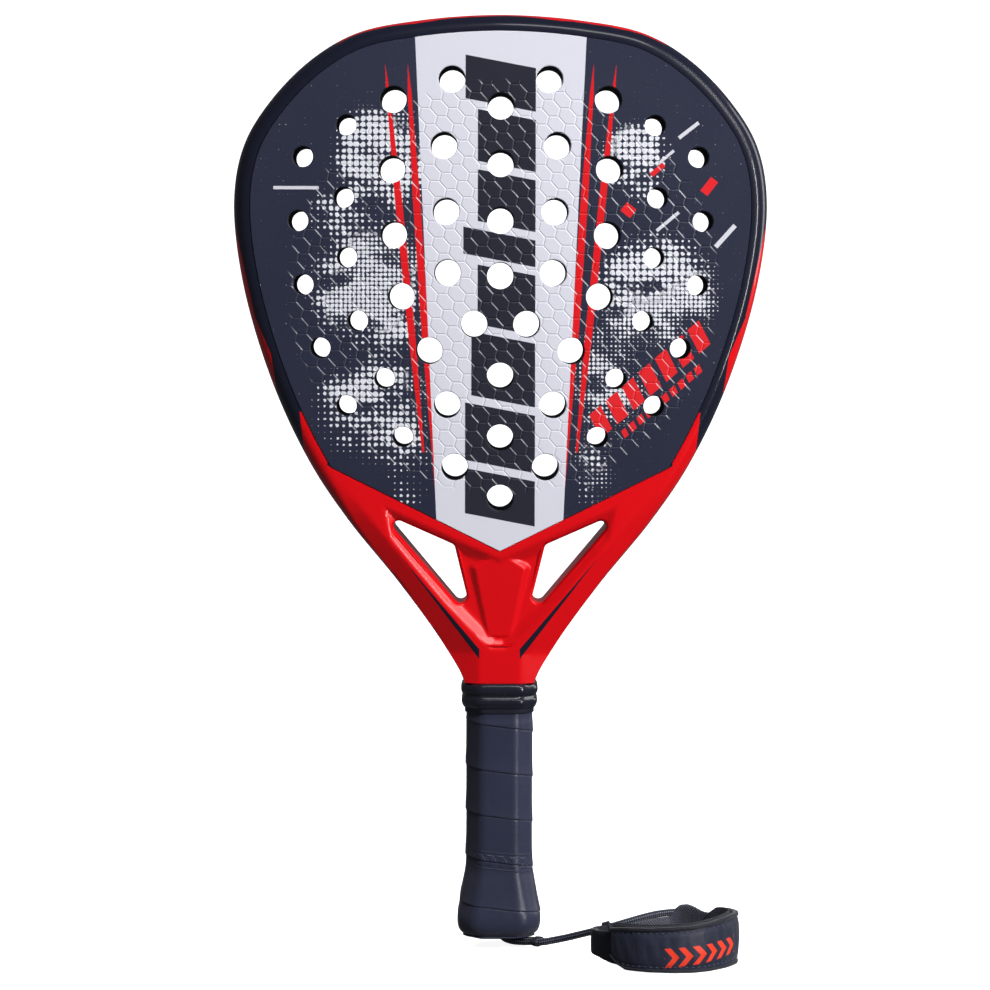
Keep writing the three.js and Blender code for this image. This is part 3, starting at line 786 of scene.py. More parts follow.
def thread_ring(name, path, half_across, half_up, ridge):
    """Thread wound round a line, its turns side by side."""
    length = np.linalg.norm(np.asarray(path[-1]) - np.asarray(path[0]))
    turn = turns(40)

    def shape(run):
        wave = 0.16 * abs(math.sin(math.pi * run / ridge))
        end = min(run, length - run)
        drop = 0.55 * (1 - min(1, end / 0.45)) ** 2
        grow = wave - drop
        return np.column_stack([(half_across + grow) * np.cos(turn), (half_up + grow) * np.sin(turn)])

    return loft(name, sections_along(path, shape), 60)


whip_line = [strand_point(a, 0, WHIP_HEIGHT) for a in np.arange(WHIP[0] + 0.3, WHIP[1] - 0.29, 0.08)]
whipping = thread_ring("cord_binding", whip_line, STRAND_OFFSET + CORD / 2 + 0.7, CORD / 2 + 0.5, 0.55)
keeper_way = np.array(CORD_ROUTE[3]) - np.array(CORD_ROUTE[2])
keeper_way /= np.linalg.norm(keeper_way)
keeper_line = [np.array(KEEPER_AT) + keeper_way * a for a in np.arange(-2, 2.01, 0.1)]
keeper = thread_ring("cord_loop", keeper_line, CORD / 2 + 1.1, CORD / 2 + 1.1, 1.0)


# ---- Wristband ----
def looked_up(table, share):
    """The values of a (share, value, ...) table's columns at a share of the length."""
    rows = np.array(table, float)
    return [float(np.interp(share, rows[:, 0], column)) for column in rows.T[1:]]


def strap_sweep(name, path, section, step=0.7, smooth=50):
    """A strip on its edge along a plan curve. section(share) gives (outward, height) points in a ring."""
    line = spaced(catmull(path, 30), step)
    count = len(line) - 1
    rings, runs = [], []
    for i, (p, n) in enumerate(zip(line, outward(line))):
        points = np.array(section(i / count))
        rings.append(np.column_stack([p[0] + n[0] * points[:, 0], p[1] + n[1] * points[:, 0], points[:, 1]]))
        runs += [i * step] * len(points)
    made = loft(name, rings, smooth)
    add_values(made, "along", runs)
    return made


def cloth_wave(share, rise):
    """Slight wrinkles across the band, in millimetres."""
    return (0.16 * math.sin(41 * share + 1.3 * math.sin(7 * rise)) + 0.1 * math.sin(97 * share + 5 * rise)
            + 0.13 * math.sin(19 * share - 3 * rise))


def outer_section(share):
    low, high = looked_up(BAND_EDGES, share)
    low, high = low + LOW_COVER, high - HIGH_COVER
    end = smoothstep(0, 0.02, share) * smoothstep(1, 0.98, share)
    front = []
    for rise in (k / 24 for k in range(25)):
        pull = math.sin(math.pi * rise)
        dent = sum(STITCH_DENT * math.exp(-((rise - row) / 0.035) ** 2) for row in STITCH_ROWS)
        crown = CLOTH_OUT + CLOTH_CROWN * pull ** 0.55 - dent + cloth_wave(share, rise) * pull
        front.append((1.2 + (crown - 1.2) * max(0.3, end), low + (high - low) * rise))
    return front + [(0.9, low + (high - low) * (1 - k / 8)) for k in range(9)]


def lining_section(share):
    (low, high), (extra,) = looked_up(BAND_EDGES, share), looked_up(LINING_RISE, share)
    low, high = low + LOW_COVER, high - HIGH_COVER + extra
    back = []
    for rise in (1 - k / 16 for k in range(17)):
        pull = math.sin(math.pi * rise)
        inwards = -2.1 - 0.8 * pull ** 0.6 - 0.6 * cloth_wave(share, rise) * pull
        back.append((inwards, low + (high - low) * rise))
    return [(-1.6, low + (high - low) * k / 8) for k in range(9)] + back


def soft_box(count, side_power, up_power):
    """(across, up, sine) of points round a box with soft corners, each from -1 to 1."""
    for angle in (2 * math.pi * k / count for k in range(count)):
        side, up = math.cos(angle), math.sin(angle)
        yield math.copysign(abs(side) ** side_power, side), math.copysign(abs(up) ** up_power, up), up


def padding_section(share):
    (low, high), (extra,) = looked_up(BAND_EDGES, share), looked_up(LINING_RISE, share)
    low, high = low + 2, high - 1.2 + extra
    middle, half = (low + high) / 2, (high - low) / 2
    return [(-0.35 + 0.95 * side, middle + half * up) for side, up, _ in soft_box(28, 0.3, 0.45)]


def binding_section(top):
    middle, half = (1.55, 1.35) if top else (0.05, 2.75)

    def section(share):
        low, high = looked_up(BAND_EDGES, share)
        centre = high - 0.95 if top else low + 0.95
        ripple = 0.1 * math.sin(60 * share)
        return [(middle + half * side + ripple, centre + 0.95 * up) for side, up, _ in soft_box(20, 0.8, 0.7)]
    return section


def tab_section(table, bow):
    def section(share):
        low, high, half = looked_up(table, share)
        puff = bow * math.sin(math.pi * share)
        return [(puff * (1 - sine * sine) + half * side, (low + high) / 2 + (high - low) / 2 * up)
                for side, up, sine in soft_box(28, 0.6, 0.45)]
    return section


band_outer = strap_sweep("band_satin", BAND_PATH, outer_section, 0.6)
band_lining = strap_sweep("band_mesh", BAND_PATH, lining_section, 0.8)
band_padding = strap_sweep("band_pad", BAND_PATH, padding_section, 1.0)
binding_low = strap_sweep("band_edge_low", BAND_PATH, binding_section(False), 0.6)
binding_top = strap_sweep("band_edge_top", BAND_PATH, binding_section(True), 0.6)
front_tab = strap_sweep("tab_front", FRONT_TAB_PATH, tab_section(FRONT_TAB, 0.3), 0.5)
rear_tab = strap_sweep("tab_rear", REAR_TAB_PATH, tab_section(REAR_TAB, 0.4), 0.5)


def make_stitches():
    """Two rows of thread along the band's outer side."""
    line = spaced(catmull(BAND_PATH, 30), 0.25)
    out = outward(line)
    count = len(line) - 1
    vertices, faces = [], []
    steps, sides = 7, 6
    for rise in STITCH_ROWS:
        pull = math.sin(math.pi * rise)
        for start in range(6, count - 12, 11):
            first = len(vertices)
            for k in range(steps):
                i = start + k
                low, high = looked_up(BAND_EDGES, i / count)
                height = low + LOW_COVER + (high - low - LOW_COVER - HIGH_COVER) * rise
                crown = CLOTH_OUT + CLOTH_CROWN * pull ** 0.55 - STITCH_DENT
                crown += cloth_wave(i / count, rise) * pull
                thick = STITCH_THICK * math.sqrt(max(0.06, 1 - (2 * k / (steps - 1) - 1) ** 2))
                for angle in turns(sides):
                    x, y = line[i] + out[i] * (crown + 0.12 + thick * math.cos(angle))
                    vertices.append((x, y, height + thick * math.sin(angle)))
            faces += ring_faces(steps, sides, first=first)
    return mesh_object("band_stitches", vertices, faces, 60)


stitches = make_stitches()


# ---- Materials: fields of position, in drawing millimetres, turned into shader nodes ----
class Field:
    """A number at each point of a surface."""

    def __init__(self, tree, source):
        self.tree, self.source = tree, source

    def op(self, operation, *others, clamp=False):
        node = self.tree.nodes.new("ShaderNodeMath")
        node.operation = operation
        node.use_clamp = clamp
        for slot, value in zip(node.inputs, (self, *others)):
            if isinstance(value, Field):
                self.tree.links.new(value.source, slot)
            else:
                slot.default_value = value
        return Field(self.tree, node.outputs[0])

    def __rsub__(self, other):
        return (self * -1) + other

    def __neg__(self):
        return self * -1

    def on(self, soft=0.12):
        """One where this is above zero and nought where it is below, over a soft edge."""
        return (self / soft).op("ADD", 0.5, clamp=True)

    def within(self, half, soft):
        """One where this is less than half from zero."""
        return (half - self.abs()).on(soft)

    def between(self, low, high, soft=0.2):
        return (self - low).on(soft) * (high - self).on(soft)

    def clamp(self):
        return self.op("ADD", 0, clamp=True)


for method, operation in {
    "__add__": "ADD", "__radd__": "ADD", "__sub__": "SUBTRACT", "__mul__": "MULTIPLY", "__rmul__": "MULTIPLY",
    "__truediv__": "DIVIDE", "abs": "ABSOLUTE", "min": "MINIMUM", "max": "MAXIMUM", "mod": "FLOORED_MODULO",
    "sin": "SINE", "root": "SQRT",
}.items():
    setattr(Field, method, lambda self, *others, operation=operation: self.op(operation, *others))


class Surface:
    """A material under construction."""

    def __init__(self, name):
        self.material = bpy.data.materials.new(name)
        self.material.use_nodes = True
        self.tree = self.material.node_tree
        self.shader = self.tree.nodes["Principled BSDF"]
        self.place = self.tree.nodes.new("ShaderNodeTexCoord").outputs["Object"]
        split = self.tree.nodes.new("ShaderNodeSeparateXYZ")
        self.tree.links.new(self.place, split.inputs[0])
        x, y, z = (Field(self.tree, split.outputs[k]) for k in range(3))
        self.x, self.y, self.z = x * 1000, y * 1000, z * 1000 + GRIP_CENTRE

    def attribute(self, name):
        """A value carried by the mesh's points."""
        node = self.tree.nodes.new("ShaderNodeAttribute")
        node.attribute_name = name
        return Field(self.tree, node.outputs["Fac"])

    def noise(self, size, detail=2.0, stretch=(1, 1, 1), roughness=0.5):
        """Noise from about 0 to 1 whose lumps are size millimetres across."""
        mapping = self.tree.nodes.new("ShaderNodeMapping")
        mapping.inputs["Scale"].default_value = [1000 / size / s for s in stretch]
        self.tree.links.new(self.place, mapping.inputs["Vector"])
        node = self.tree.nodes.new("ShaderNodeTexNoise")
        node.inputs["Scale"].default_value = 1
        node.inputs["Detail"].default_value = detail
        node.inputs["Roughness"].default_value = roughness
        self.tree.links.new(mapping.outputs[0], node.inputs["Vector"])
        return Field(self.tree, node.outputs["Fac"])

    def mix(self, mask, first, second):
        """The colour first, and second where the mask is one."""
        node = self.tree.nodes.new("ShaderNodeMix")
        node.data_type = "RGBA"
        self._set(node.inputs["Factor"], mask)
        for slot in node.inputs:
            if slot.type == "RGBA":
                self._set(slot, first if slot.name == "A" else second)
        return [slot for slot in node.outputs if slot.type == "RGBA"][0]

    def _set(self, slot, value):
        if isinstance(value, Field):
            self.tree.links.new(value.source, slot)
        elif isinstance(value, bpy.types.NodeSocket):
            self.tree.links.new(value, slot)
        elif isinstance(value, tuple):
            slot.default_value = (*value, 1)
        else:
            slot.default_value = value

    def finish(self, colour, roughness, height=None, **values):
        """The finished material. The height is in millimetres, as a bump."""
        self._set(self.shader.inputs["Base Color"], colour)
        self._set(self.shader.inputs["Roughness"], roughness)
        if height is not None:
            node = self.tree.nodes.new("ShaderNodeBump")
            node.inputs["Strength"].default_value = 1
            node.inputs["Distance"].default_value = MM
            self.tree.links.new(height.source, node.inputs["Height"])
            self.tree.links.new(node.outputs[0], self.shader.inputs["Normal"])
        for name, value in values.items():
            self.shader.inputs[name.replace("_", " ")].default_value = value
        return self.material


# Linear colours.
NAVY = (0.0095, 0.0120, 0.0310)
# A lighter navy, mixed into the face at random as mottle and towards its top as painted sheen.
NAVY_MOTTLE_AND_SHEEN = (0.034, 0.040, 0.072)
RIM = (0.0065, 0.0080, 0.0190)
RED = (0.680, 0.0006, 0.0040)
PRINT_RED = (0.700, 0.008, 0.012)
SILVER = (0.660, 0.660, 0.730)
SILVER_GRAIN = (0.50, 0.50, 0.60)
DOT_WHITE = (0.70, 0.71, 0.76)
LINE_WHITE = (0.62, 0.62, 0.68)
# A painted highlight along one slant of the honeycomb's ridges.
PAINTED_RIDGE_HIGHLIGHT = (0.72, 0.73, 0.80)
INK = (0.0095, 0.0105, 0.0215)

# The red on the frame: the arms with a tip up each side of the face, a wedge on the rim, a streak over the top.
ARM_HALF, TIP_HALF, TIP_FOOT, TIP_TOP = 84, 95.6, 244, 262.5
WEDGE_FOOT, WEDGE_TOP = 271.8, 359
STREAK_FOOT, STREAK_HALF = 430, 78
# The dark slash down each arm: where it starts and ends, its rise and how wide it starts.
SLASH_START, SLASH_HEIGHT, SLASH_END, SLASH_RISE, SLASH_WIDE = 9.9, 146.4, 49, 1.185, 4.9
# The silver stripe's half width at a height, and how it widens.
STRIPE_FOOT, STRIPE_HALF, STRIPE_SLOPE = 208.4, 30.85, 0.04484

# The printed face's tables, in drawing millimetres.
# Halftone patches, as (x, height, half width, half height, strength).
PATCHES = [
    (-58, 385, 27, 34, 1), (-62, 322, 34, 38, 1), (-80, 358, 16, 13, 0.7), (66, 384, 20, 22, 1),
    (76, 322, 34, 30, 1.2), (52, 276, 22, 32, 0.7), (-62, 266, 32, 30, 0.85), (-46, 236, 14, 28, 0.4),
    (45, 236, 12, 28, 0.4),
]
# Slanted blocks down the stripe, as (foot, top, left, right).
BLOCKS = [
    (411, 432, -17, 17), (382, 407, -11, 17), (353, 378, -11, 17), (336, 349, -18, 17), (303, 332, -11, 17),
    (268, 299, -14, 17), (236, 264, -17, 17), (210, 232, -17, 17),
]
BLOCK_SLANT = 0.19
# Small bars, as (x, height, half length, half width, degrees).
RED_BARS = [(101, 372, 4.2, 2.2, 52), (62, 360.5, 3, 2.6, -38), (76, 380, 4, 1.2, 40)]
WHITE_BARS = [
    (91, 399, 6, 0.9, 38), (81, 355, 7, 0.8, 40), (109, 348, 7, 1.1, 48), (-99, 371, 11, 0.8, 0),
    (80, 386, 5, 0.7, 40),
]
# The two rows of red bars that climb to the right.
ROWS_AT = (49, 247)
ROWS_ANGLE = math.radians(41)
# The honeycomb relief and its oval, as (x, height, half width, half height).
COMB_PITCH, COMB_SKEW, COMB_DEPTH = 7.8, 0.32, 0.38
COMB_OVAL = (1.5, 323, 104, 100)


def total(fields):
    """The sum of several fields, in order."""
    fields = list(fields)
    out = fields[0]
    for field in fields[1:]:
        out = out + field
    return out


def frame_paint():
    s = Surface("painted_frame")
    along = s.x.abs()
    below_vee = (s.x.abs() * VEE_SLOPE + VEE_APEX - s.z + 0.05).on(0.15)
    tip = (along * -1 + TIP_HALF + (s.z - TIP_FOOT) * 0.1).on(0.2) * (TIP_TOP - s.z).on(0.2)
    outside = (tip + (TIP_FOOT - s.z).on(0.2)).clamp()
    arm = below_vee * (ARM_HALF - along).on(0.2) + outside * (along - ARM_HALF).on(0.2)
    slope = ((s.z - 290) * 0.433 + 111.2).min((s.z - 308) * 0.222 + 119)
    wedge = (along - ((s.z - 290) * 0.137 + 111.2).max(slope)).on(0.25)
    wedge = wedge * (s.z - WEDGE_FOOT).on(0.2) * (WEDGE_TOP - s.z).on(0.5)
    ragged = 1.3 - s.attribute("from_edge") + (s.noise(16, 1) - 0.55) * 2.2
    streak = ragged.on(0.2) * (STREAK_HALF - along).on(6) * (s.z - STREAK_FOOT).on(1)
    run = along - SLASH_START
    inner = run * SLASH_RISE + SLASH_HEIGHT
    outer = inner - (1 - run / 39) * SLASH_WIDE
    slash = s.z.between(outer, inner) * run.on(0.15) * (SLASH_END - along).on(0.2)
    body = s.mix((arm + wedge + streak).clamp() * (1 - slash), RIM, RED)
    return s.finish(
        s.mix((s.noise(1.2, 2) - 0.5).abs() * 0.06, body, (0.02, 0.0, 0.004)),
        s.noise(22, 3) * 0.1 + 0.27,
        s.noise(5, 2) * 0.018 + s.noise(0.8, 1) * 0.002,
        Coat_Weight=0.6, Coat_Roughness=0.07, Specular_IOR_Level=0.25)


def honeycomb(s, pitch, skew):
    """Distances, in millimetres, from a slanted honeycomb's level sides and its two pairs of slanted ones."""
    u = (s.x + s.z * skew) / pitch
    v = s.z / pitch
    tall = math.sqrt(3)
    ax, ay = v.mod(1) - 0.5, u.mod(tall) - tall / 2
    bx, by = (v + 0.5).mod(1) - 0.5, (u + tall / 2).mod(tall) - tall / 2
    nearer = ((bx * bx + by * by) - (ax * ax + ay * ay)).op("GREATER_THAN", 0)
    gx = nearer * ax + (1 - nearer) * bx
    gy = nearer * ay + (1 - nearer) * by
    level = (0.5 - gx.abs()) * pitch
    falling = (0.5 - (gx * 0.5 + gy * (tall / 2)).abs()) * pitch
    rising = (0.5 - (gx * 0.5 - gy * (tall / 2)).abs()) * pitch
    return level, falling, rising


def oval_distance(s, x, z, wide, tall):
    """The square of the distance from a point, one on an oval round it."""
    dx, dz = (s.x - x) / wide, (s.z - z) / tall
    return dx * dx + dz * dz


def turned(s, x, z, angle):
    """Distances along and across a direction, from a point."""
    c, n = math.cos(angle), math.sin(angle)
    return (s.x - x) * c + (s.z - z) * n, (s.z - z) * c - (s.x - x) * n


def bar(s, x, z, half_long, half_wide, degrees):
    """A slanted bar's mask."""
    u, v = turned(s, x, z, math.radians(degrees))
    return u.within(half_long, 0.15) * v.within(half_wide, 0.15)


def halftone(s):
    """Dots of two sizes, in patches that fade outwards."""
    patch = total((1 - oval_distance(s, *at)).max(0) * strength for *at, strength in PATCHES)
    clump = s.noise(13, 3, (1.7, 1, 0.8), 0.62) * 4.8 - 1.5
    dense = (patch.min(1) * (clump.max(0) + (patch - 0.25).max(0).min(0.14))).min(0.88)
    coarse = (s.noise(50, 1) - 0.5).on(0.03)
    layers = []
    for pitch, shift, share in ((3.1, 0, coarse), (2.15, 0.9, 1 - coarse)):
        u, v = (s.x + shift).mod(pitch) - pitch / 2, (s.z + shift).mod(pitch) - pitch / 2
        radius = (u * u + v * v).root() + (s.noise(1.1, 1) - 0.5) * pitch * 0.35
        layers.append((dense * pitch * 0.56 - radius - 0.1).on(0.18) * share)
    return total(layers)


def side_lines(s):
    """Two tapering red lines on each side of the stripe."""
    along = s.x.abs()
    thick = ((431 - s.z) / 34).min(0.45) + ((405 - s.z) / 37).min(1).max(0) * 0.36
    thick = thick.max(0) * ((s.z - 214) / 88).min(1).max(0) - 0.1 * (s.z - 430.5).on(0.5)
    near = (along - ((s.z - 216) * 0.0659 + 30.8)).within(thick * 2.2, 0.15)
    far = (along - ((s.z - 239) * 0.099 + 36.9)).within(thick * 2.15, 0.15) * (s.z - 243).on(0.5)
    return (near + far).clamp()


def stripe_blocks(s):
    level = s.z + s.x * BLOCK_SLANT
    return total(
        (level - (high + low) / 2).within((high - low) / 2, 0.25) * s.x.between(left, right)
        for low, high, left, right in BLOCKS).clamp()


def climbing_rows(s):
    """A row of tall bars over a row of small ones."""
    u, v = turned(s, *ROWS_AT, ROWS_ANGLE)
    lean = u - v * 0.25
    tall = (lean.mod(10.5) - 5).within(3.6, 0.2) * (v - 8.2).within(6.2, 0.2)
    small = (lean.mod(5.25) - 2.5).within(1.7, 0.2) * (v + 3.6).within(1.9, 0.2)
    return tall * lean.between(0, 73) + small * lean.between(12, 62)


def face_paint():
    s = Surface("printed_face")
    stripe = ((s.z - STRIPE_FOOT) * STRIPE_SLOPE + STRIPE_HALF - s.x.abs()).on(0.15)
    ink = stripe_blocks(s)
    reds = (climbing_rows(s) + total(bar(s, *row) for row in RED_BARS)).clamp()
    whites = total(bar(s, *row) for row in WHITE_BARS).clamp()
    level, falling, rising = honeycomb(s, COMB_PITCH, COMB_SKEW)
    textured = (1 - oval_distance(s, *COMB_OVAL)).on(0.05)
    # A painted highlight on the falling side of each honeycomb cell, where the relief would catch the light.
    ridge_highlight = (0.3 - falling).on(0.25) * (level.min(rising) - falling).on(0.3) * textured
    # The navy is mottled at random and painted lighter towards the top, a painted sheen.
    colour = s.mix((s.noise(60, 2) * 0.5 + (s.z - 200) / 500).clamp() * 0.35, NAVY, NAVY_MOTTLE_AND_SHEEN)
    for mask, over in (
        (halftone(s) * (1 - stripe), DOT_WHITE), (side_lines(s), RED), (reds, PRINT_RED), (whites, LINE_WHITE),
        (stripe, s.mix(s.noise(0.9, 2) * 0.25, SILVER, SILVER_GRAIN)), (ink * stripe, INK),
        (ridge_highlight * (s.noise(9, 1) * 1.5 - 0.42).clamp(), PAINTED_RIDGE_HIGHLIGHT), (s.noise(0.7, 1) * 0.05, (0.2, 0.2, 0.24)),
    ):
        colour = s.mix(mask, colour, over)
    ridge = (0.55 - level.min(falling).min(rising)).max(0) * textured
    return s.finish(
        colour,
        s.noise(30, 3) * 0.12 + stripe * 0.04 + 0.33,
        ridge * -COMB_DEPTH + s.noise(0.35, 1) * 0.008 + ink * stripe * 0.03,
        Coat_Weight=0.15, Coat_Roughness=0.25, Specular_IOR_Level=0.42)


def foam_paint():
    s = Surface("closed_cell_foam")
    cells = s.noise(0.7, 3)
    return s.finish(
        s.mix(cells * 0.6, (0.020, 0.022, 0.030), (0.060, 0.064, 0.078)), s.noise(4, 2) * 0.1 + 0.82,
        cells * 0.12)


def pallet_paint():
    s = Surface("pallet_foam")
    return s.finish(
        s.mix(s.noise(1.2, 3), (0.36, 0.34, 0.28), (0.55, 0.53, 0.45)), s.noise(5, 2) * 0.1 + 0.8,
        s.noise(0.8, 3) * 0.2)


def grip_paint():
    s = Surface("grip_wrap")
    # A row of raised chevrons between two rules, near the flare.
    front = (-s.y).on(1)
    rise = s.z - 41.5 + s.x * 0.1
    wave = (s.x + rise.abs() * 0.7).mod(5.4) - 2.7
    mark = wave.within(1.35, 0.35) * rise.within(2.6, 0.4) * (s.x - 2).within(13, 0.5)
    rule = (rise.abs() - 4.1).within(0.3, 0.25) * (s.x - 1).within(14, 0.5)
    return s.finish(
        s.mix(s.noise(26, 3, (1, 1, 1.8)), (0.0150, 0.0180, 0.0400), (0.0260, 0.0300, 0.0590)),
        s.noise(9, 2) * 0.18 + 0.29,
        s.noise(0.45, 2) * 0.035 + s.noise(3.5, 2) * 0.05 + (mark + rule) * front * 0.22,
        Specular_IOR_Level=0.5, Sheen_Weight=0.12, Sheen_Roughness=0.5)


def rubber(name, dark, light, rough, grain=0.03, coat=0.0):
    s = Surface(name)
    return s.finish(
        s.mix(s.noise(12, 3), dark, light), s.noise(6, 2) * 0.12 + rough, s.noise(0.6, 2) * grain,
        Coat_Weight=coat, Coat_Roughness=0.12)


def cord_paint():
    s = Surface("braided_cord")
    # The braid's raised crests are painted lighter as a painted highlight, and the hollows between strands stay
    # near black as painted shade.
    raised = (s.attribute("lift") * 1.2).clamp() * (s.noise(0.5, 2) * 1.4)
    return s.finish(
        s.mix(raised, (0.005, 0.006, 0.012), (0.260, 0.285, 0.380)),
        s.noise(3, 2) * 0.14 + 0.5,
        s.noise(0.28, 2) * 0.12,
        Sheen_Weight=0.1, Sheen_Roughness=0.4)


def thread_weave(across, along, pitch):
    """Over-and-under threads, from two directions in millimetres."""
    turn = math.pi / pitch
    return (across * turn).sin().abs() * 0.6 + ((along * turn).sin() * (across * turn).sin()) * 0.4


def satin_paint():
    s = Surface("band_satin")
    run = s.attribute("along")
    streaks = s.noise(7, 3, (1, 1, 3.2))
    cloth = s.mix(streaks, (0.0085, 0.0105, 0.0225), (0.0340, 0.0380, 0.0660))
    # A printed row of chevrons.
    rise = s.z - 8 - (run - 62) * 0.1
    chevrons = ((run + rise.abs() * 0.8).mod(6.2) - 2.0).within(1.5, 0.2)
    chevrons = chevrons * rise.within(4.7 - (run - 30) * 0.02, 0.25) * run.between(28, 66.2)
    wrinkles = s.noise(9, 3) * 0.5 + s.noise(2.2, 2, (1, 1, 2.4)) * 0.16
    return s.finish(
        s.mix(chevrons, cloth, (0.86, 0.050, 0.018)),
        streaks * 0.18 + 0.36,
        thread_weave(s.z, run, 0.42) * 0.05 + wrinkles + chevrons * 0.05,
        Sheen_Weight=0.25, Sheen_Roughness=0.35, Specular_IOR_Level=0.4)


def mesh_paint(name, dark, light, cell=1.5):
    s = Surface(name)
    run = s.attribute("along")
    one, two = (run + s.z).mod(cell) - cell / 2, (run - s.z).mod(cell) - cell / 2
    net = (cell * 0.15 - one.abs().min(two.abs())).on(cell * 0.1)
    return s.finish(
        s.mix(net, dark, light), s.noise(5, 2) * 0.12 + 0.62, net * 0.22 + s.noise(0.4, 2) * 0.05,
        Sheen_Weight=0.3, Sheen_Roughness=0.4)


def tape_weave(name, dark, light, pitch, rough=0.6):
    s = Surface(name)
    weave = thread_weave(s.z, s.attribute("along"), pitch)
    return s.finish(
        s.mix(weave * 0.5 + s.noise(4, 2) * 0.5, dark, light), s.noise(4, 2) * 0.15 + rough,
        weave * 0.09 + s.noise(0.5, 2) * 0.06,
        Sheen_Weight=0.4, Sheen_Roughness=0.35)


def dress(piece, material):
    piece.data.materials.clear()
    piece.data.materials.append(material)


frame_material = frame_paint()
face_material = face_paint()
foam_material = foam_paint()
cord_material = cord_paint()
thread_material = rubber("binding_thread", (0.004, 0.0045, 0.008), (0.016, 0.017, 0.026), 0.55, 0.08)
grip_material = grip_paint()
collar_material = rubber("collar_rubber", (0.006, 0.0068, 0.0135), (0.011, 0.012, 0.022), 0.2, 0.012, 0.6)
tape_material = rubber("finishing_tape", (0.010, 0.012, 0.020), (0.018, 0.021, 0.034), 0.4, 0.03)
satin_material = satin_paint()
lining_material = mesh_paint("band_mesh", (0.004, 0.005, 0.009), (0.022, 0.025, 0.040))
padding_material = rubber("spacer_padding", (0.02, 0.022, 0.03), (0.05, 0.053, 0.066), 0.85, 0.2)
edge_material = tape_weave("edge_tape", (0.004, 0.005, 0.009), (0.020, 0.022, 0.034), 0.5)
tab_material = tape_weave("tab_cloth", (0.0035, 0.0042, 0.0085), (0.013, 0.015, 0.026), 0.34, 0.8)
rear_material = mesh_paint("tab_mesh", (0.003, 0.004, 0.008), (0.085, 0.093, 0.130))
stitch_material = rubber("stitch_thread", (0.020, 0.023, 0.038), (0.070, 0.076, 0.115), 0.5, 0.02)

# ---- What each piece wears, rides on and stands for ----
for piece, material, body, slot_name, nodes in (
    (head, frame_material, "racket", "frame", ["frame"]),
    (bridge, frame_material, "racket", "bridge", ["throat_bridge"]),
    (front_sheet, face_material, "racket", "face", ["front_face"]),
    (back_sheet, face_material, "racket", "face", ["back_face"]),
    (core, foam_material, "racket", "foam", ["foam_core"]),
    (grip, grip_material, "racket", "grip", ["base_grip"]),
    (tape, tape_material, "racket", "tape", ["finishing_tape"]),
    (collar, collar_material, "collar", "collar", ["grip_collar"]),
    (wrist_cord, cord_material, "strap", "cord", ["wrist_cord"]),
    (cord_end, cord_material, "strap", "cord", ["cord_tail"]),
    (whipping, thread_material, "strap", "binding", ["cord_whipping"]),
    (keeper, thread_material, "strap", "binding", ["cord_keeper"]),
    (band_outer, satin_material, "strap", "satin", ["band_outer"]),
    (band_padding, padding_material, "strap", "padding", ["band_padding"]),
    (band_lining, lining_material, "strap", "lining", ["band_lining"]),
    (binding_low, edge_material, "strap", "binding", ["band_binding_bottom"]),
    (binding_top, edge_material, "strap", "binding", ["band_binding_top"]),
    (front_tab, tab_material, "strap", "tab", ["front_tab"]),
    (rear_tab, rear_material, "strap", "lining", ["rear_tab"]),
    (stitches, stitch_material, "strap", "binding", []),
):
    dress(piece, material)
    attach(piece, body)
    if nodes:
        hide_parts(*nodes)

# The CAD's own shapes that stay, in new materials.
for node, material in (
    ("handle_pallet", pallet_paint()),
    ("damper_sleeve", rubber("damper_rubber", (0.035, 0.04, 0.048), (0.06, 0.066, 0.078), 0.6, 0.05)),
    ("butt_cap", rubber("butt_plastic", (0.009, 0.010, 0.014), (0.017, 0.018, 0.024), 0.42, 0.05)),
    ("cord_knot", cord_material),
):
    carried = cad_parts[node]
    carried = bpy.data.objects[carried] if isinstance(carried, str) else carried
    for slot in carried.material_slots:
        slot.material = material


# ---- Floor, backdrop and light ----
# The backdrop's profile, as (radius, height) in metres from the floor, which is clear of the band's edge.
BOWL = [(2, 0), (2.3, 0.04), (2.5, 0.16), (2.62, 0.34), (2.65, 0.6), (2.65, 3.4)]
BOWL_GLOW = 0.9
FLOOR = TABLE - 1.5


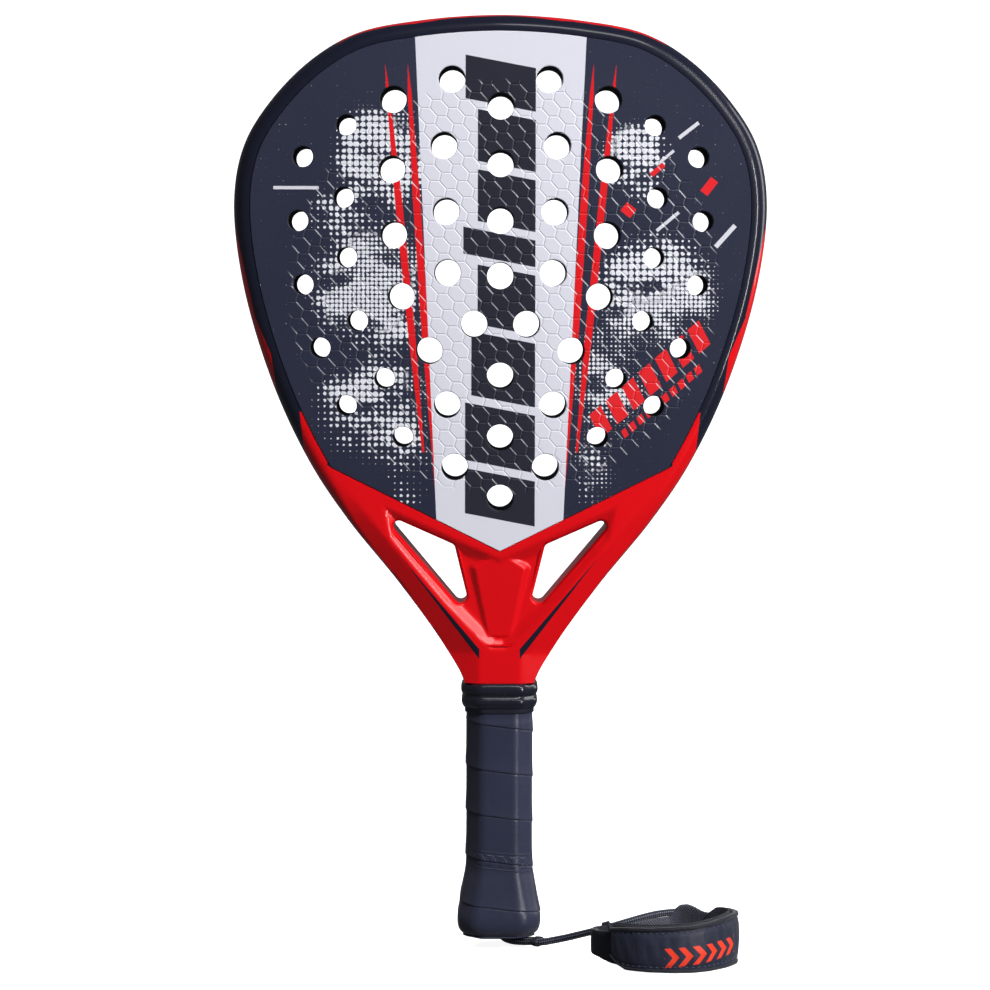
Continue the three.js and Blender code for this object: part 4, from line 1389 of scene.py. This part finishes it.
def stage_bowl(name, profile, glow, sides=72):
    """Pale paper all round the object."""
    vertices = [(0, 0, FLOOR)]
    for radius, height in profile:
        reach = radius / MM
        vertices += [(reach * math.cos(a), reach * math.sin(a), height / MM + FLOOR) for a in turns(sides)]
    faces = [(0, 1 + k, 1 + (k + 1) % sides) for k in range(sides)]
    for first in range(1, 1 + sides * (len(profile) - 1), sides):
        for k in range(sides):
            a, b = first + k, first + (k + 1) % sides
            faces.append((a, a + sides, b + sides, b))
    made = mesh_object(name, vertices, faces, 60)
    s = Surface(name + "_paper")
    dress(made, s.finish(
        s.mix(s.noise(40, 2), (0.84, 0.84, 0.85), (0.88, 0.88, 0.89)), s.noise(30, 2) * 0.1 + 0.75,
        Emission_Color=(1, 1, 1, 1), Emission_Strength=glow, Specular_IOR_Level=0.1))
    # Kept out of reflections and bounced light, which would wash out the dark paint.
    made.visible_glossy = made.visible_diffuse = False


def area_light(name, at, aim, size, power, gleam=True, spread=True):
    """A soft light in metres. gleam is for reflections of it, spread for its light on matt surfaces."""
    data = bpy.data.lights.new(name, "AREA")
    data.shape = "RECTANGLE"
    data.size, data.size_y = size
    data.energy = power
    lamp = bpy.data.objects.new(name, data)
    bpy.context.scene.collection.objects.link(lamp)
    lamp.location = at
    lamp.rotation_euler = (Vector(aim) - Vector(at)).to_track_quat("-Z", "Y").to_euler()
    lamp.visible_glossy, lamp.visible_diffuse = gleam, spread


stage_bowl("backdrop", BOWL, BOWL_GLOW)
area_light("key", (1.25, -1.4, 1.2), (0, 0, 0.15), (0.6, 0.9), 66, gleam=False)
area_light("gleam", (1.25, -1.4, 1.2), (0, 0, 0.15), (0.12, 0.9), 26, spread=False)
area_light("fill", (0.5, -2.0, 2.3), (0, 0, 0.1), (1.0, 0.6), 11)
area_light("rim_right", (1.0, 0.3, 0.5), (0, 0, 0.2), (0.3, 0.9), 3)
area_light("gleam_low", (1.45, -1.45, 0.2), (0, 0, 0.05), (0.08, 1.0), 12, spread=False)
area_light("back", (-1.1, 1.5, 1.5), (0, 0, 0.15), (1.0, 0.8), 22, gleam=False)
world = bpy.data.worlds.new("studio")
world.use_nodes = True
sky = world.node_tree.nodes["Background"].inputs
sky["Color"].default_value = (0.9, 0.92, 1, 1)
sky["Strength"].default_value = 0.1
bpy.context.scene.world = world
bpy.context.scene.view_settings.view_transform = "Standard"
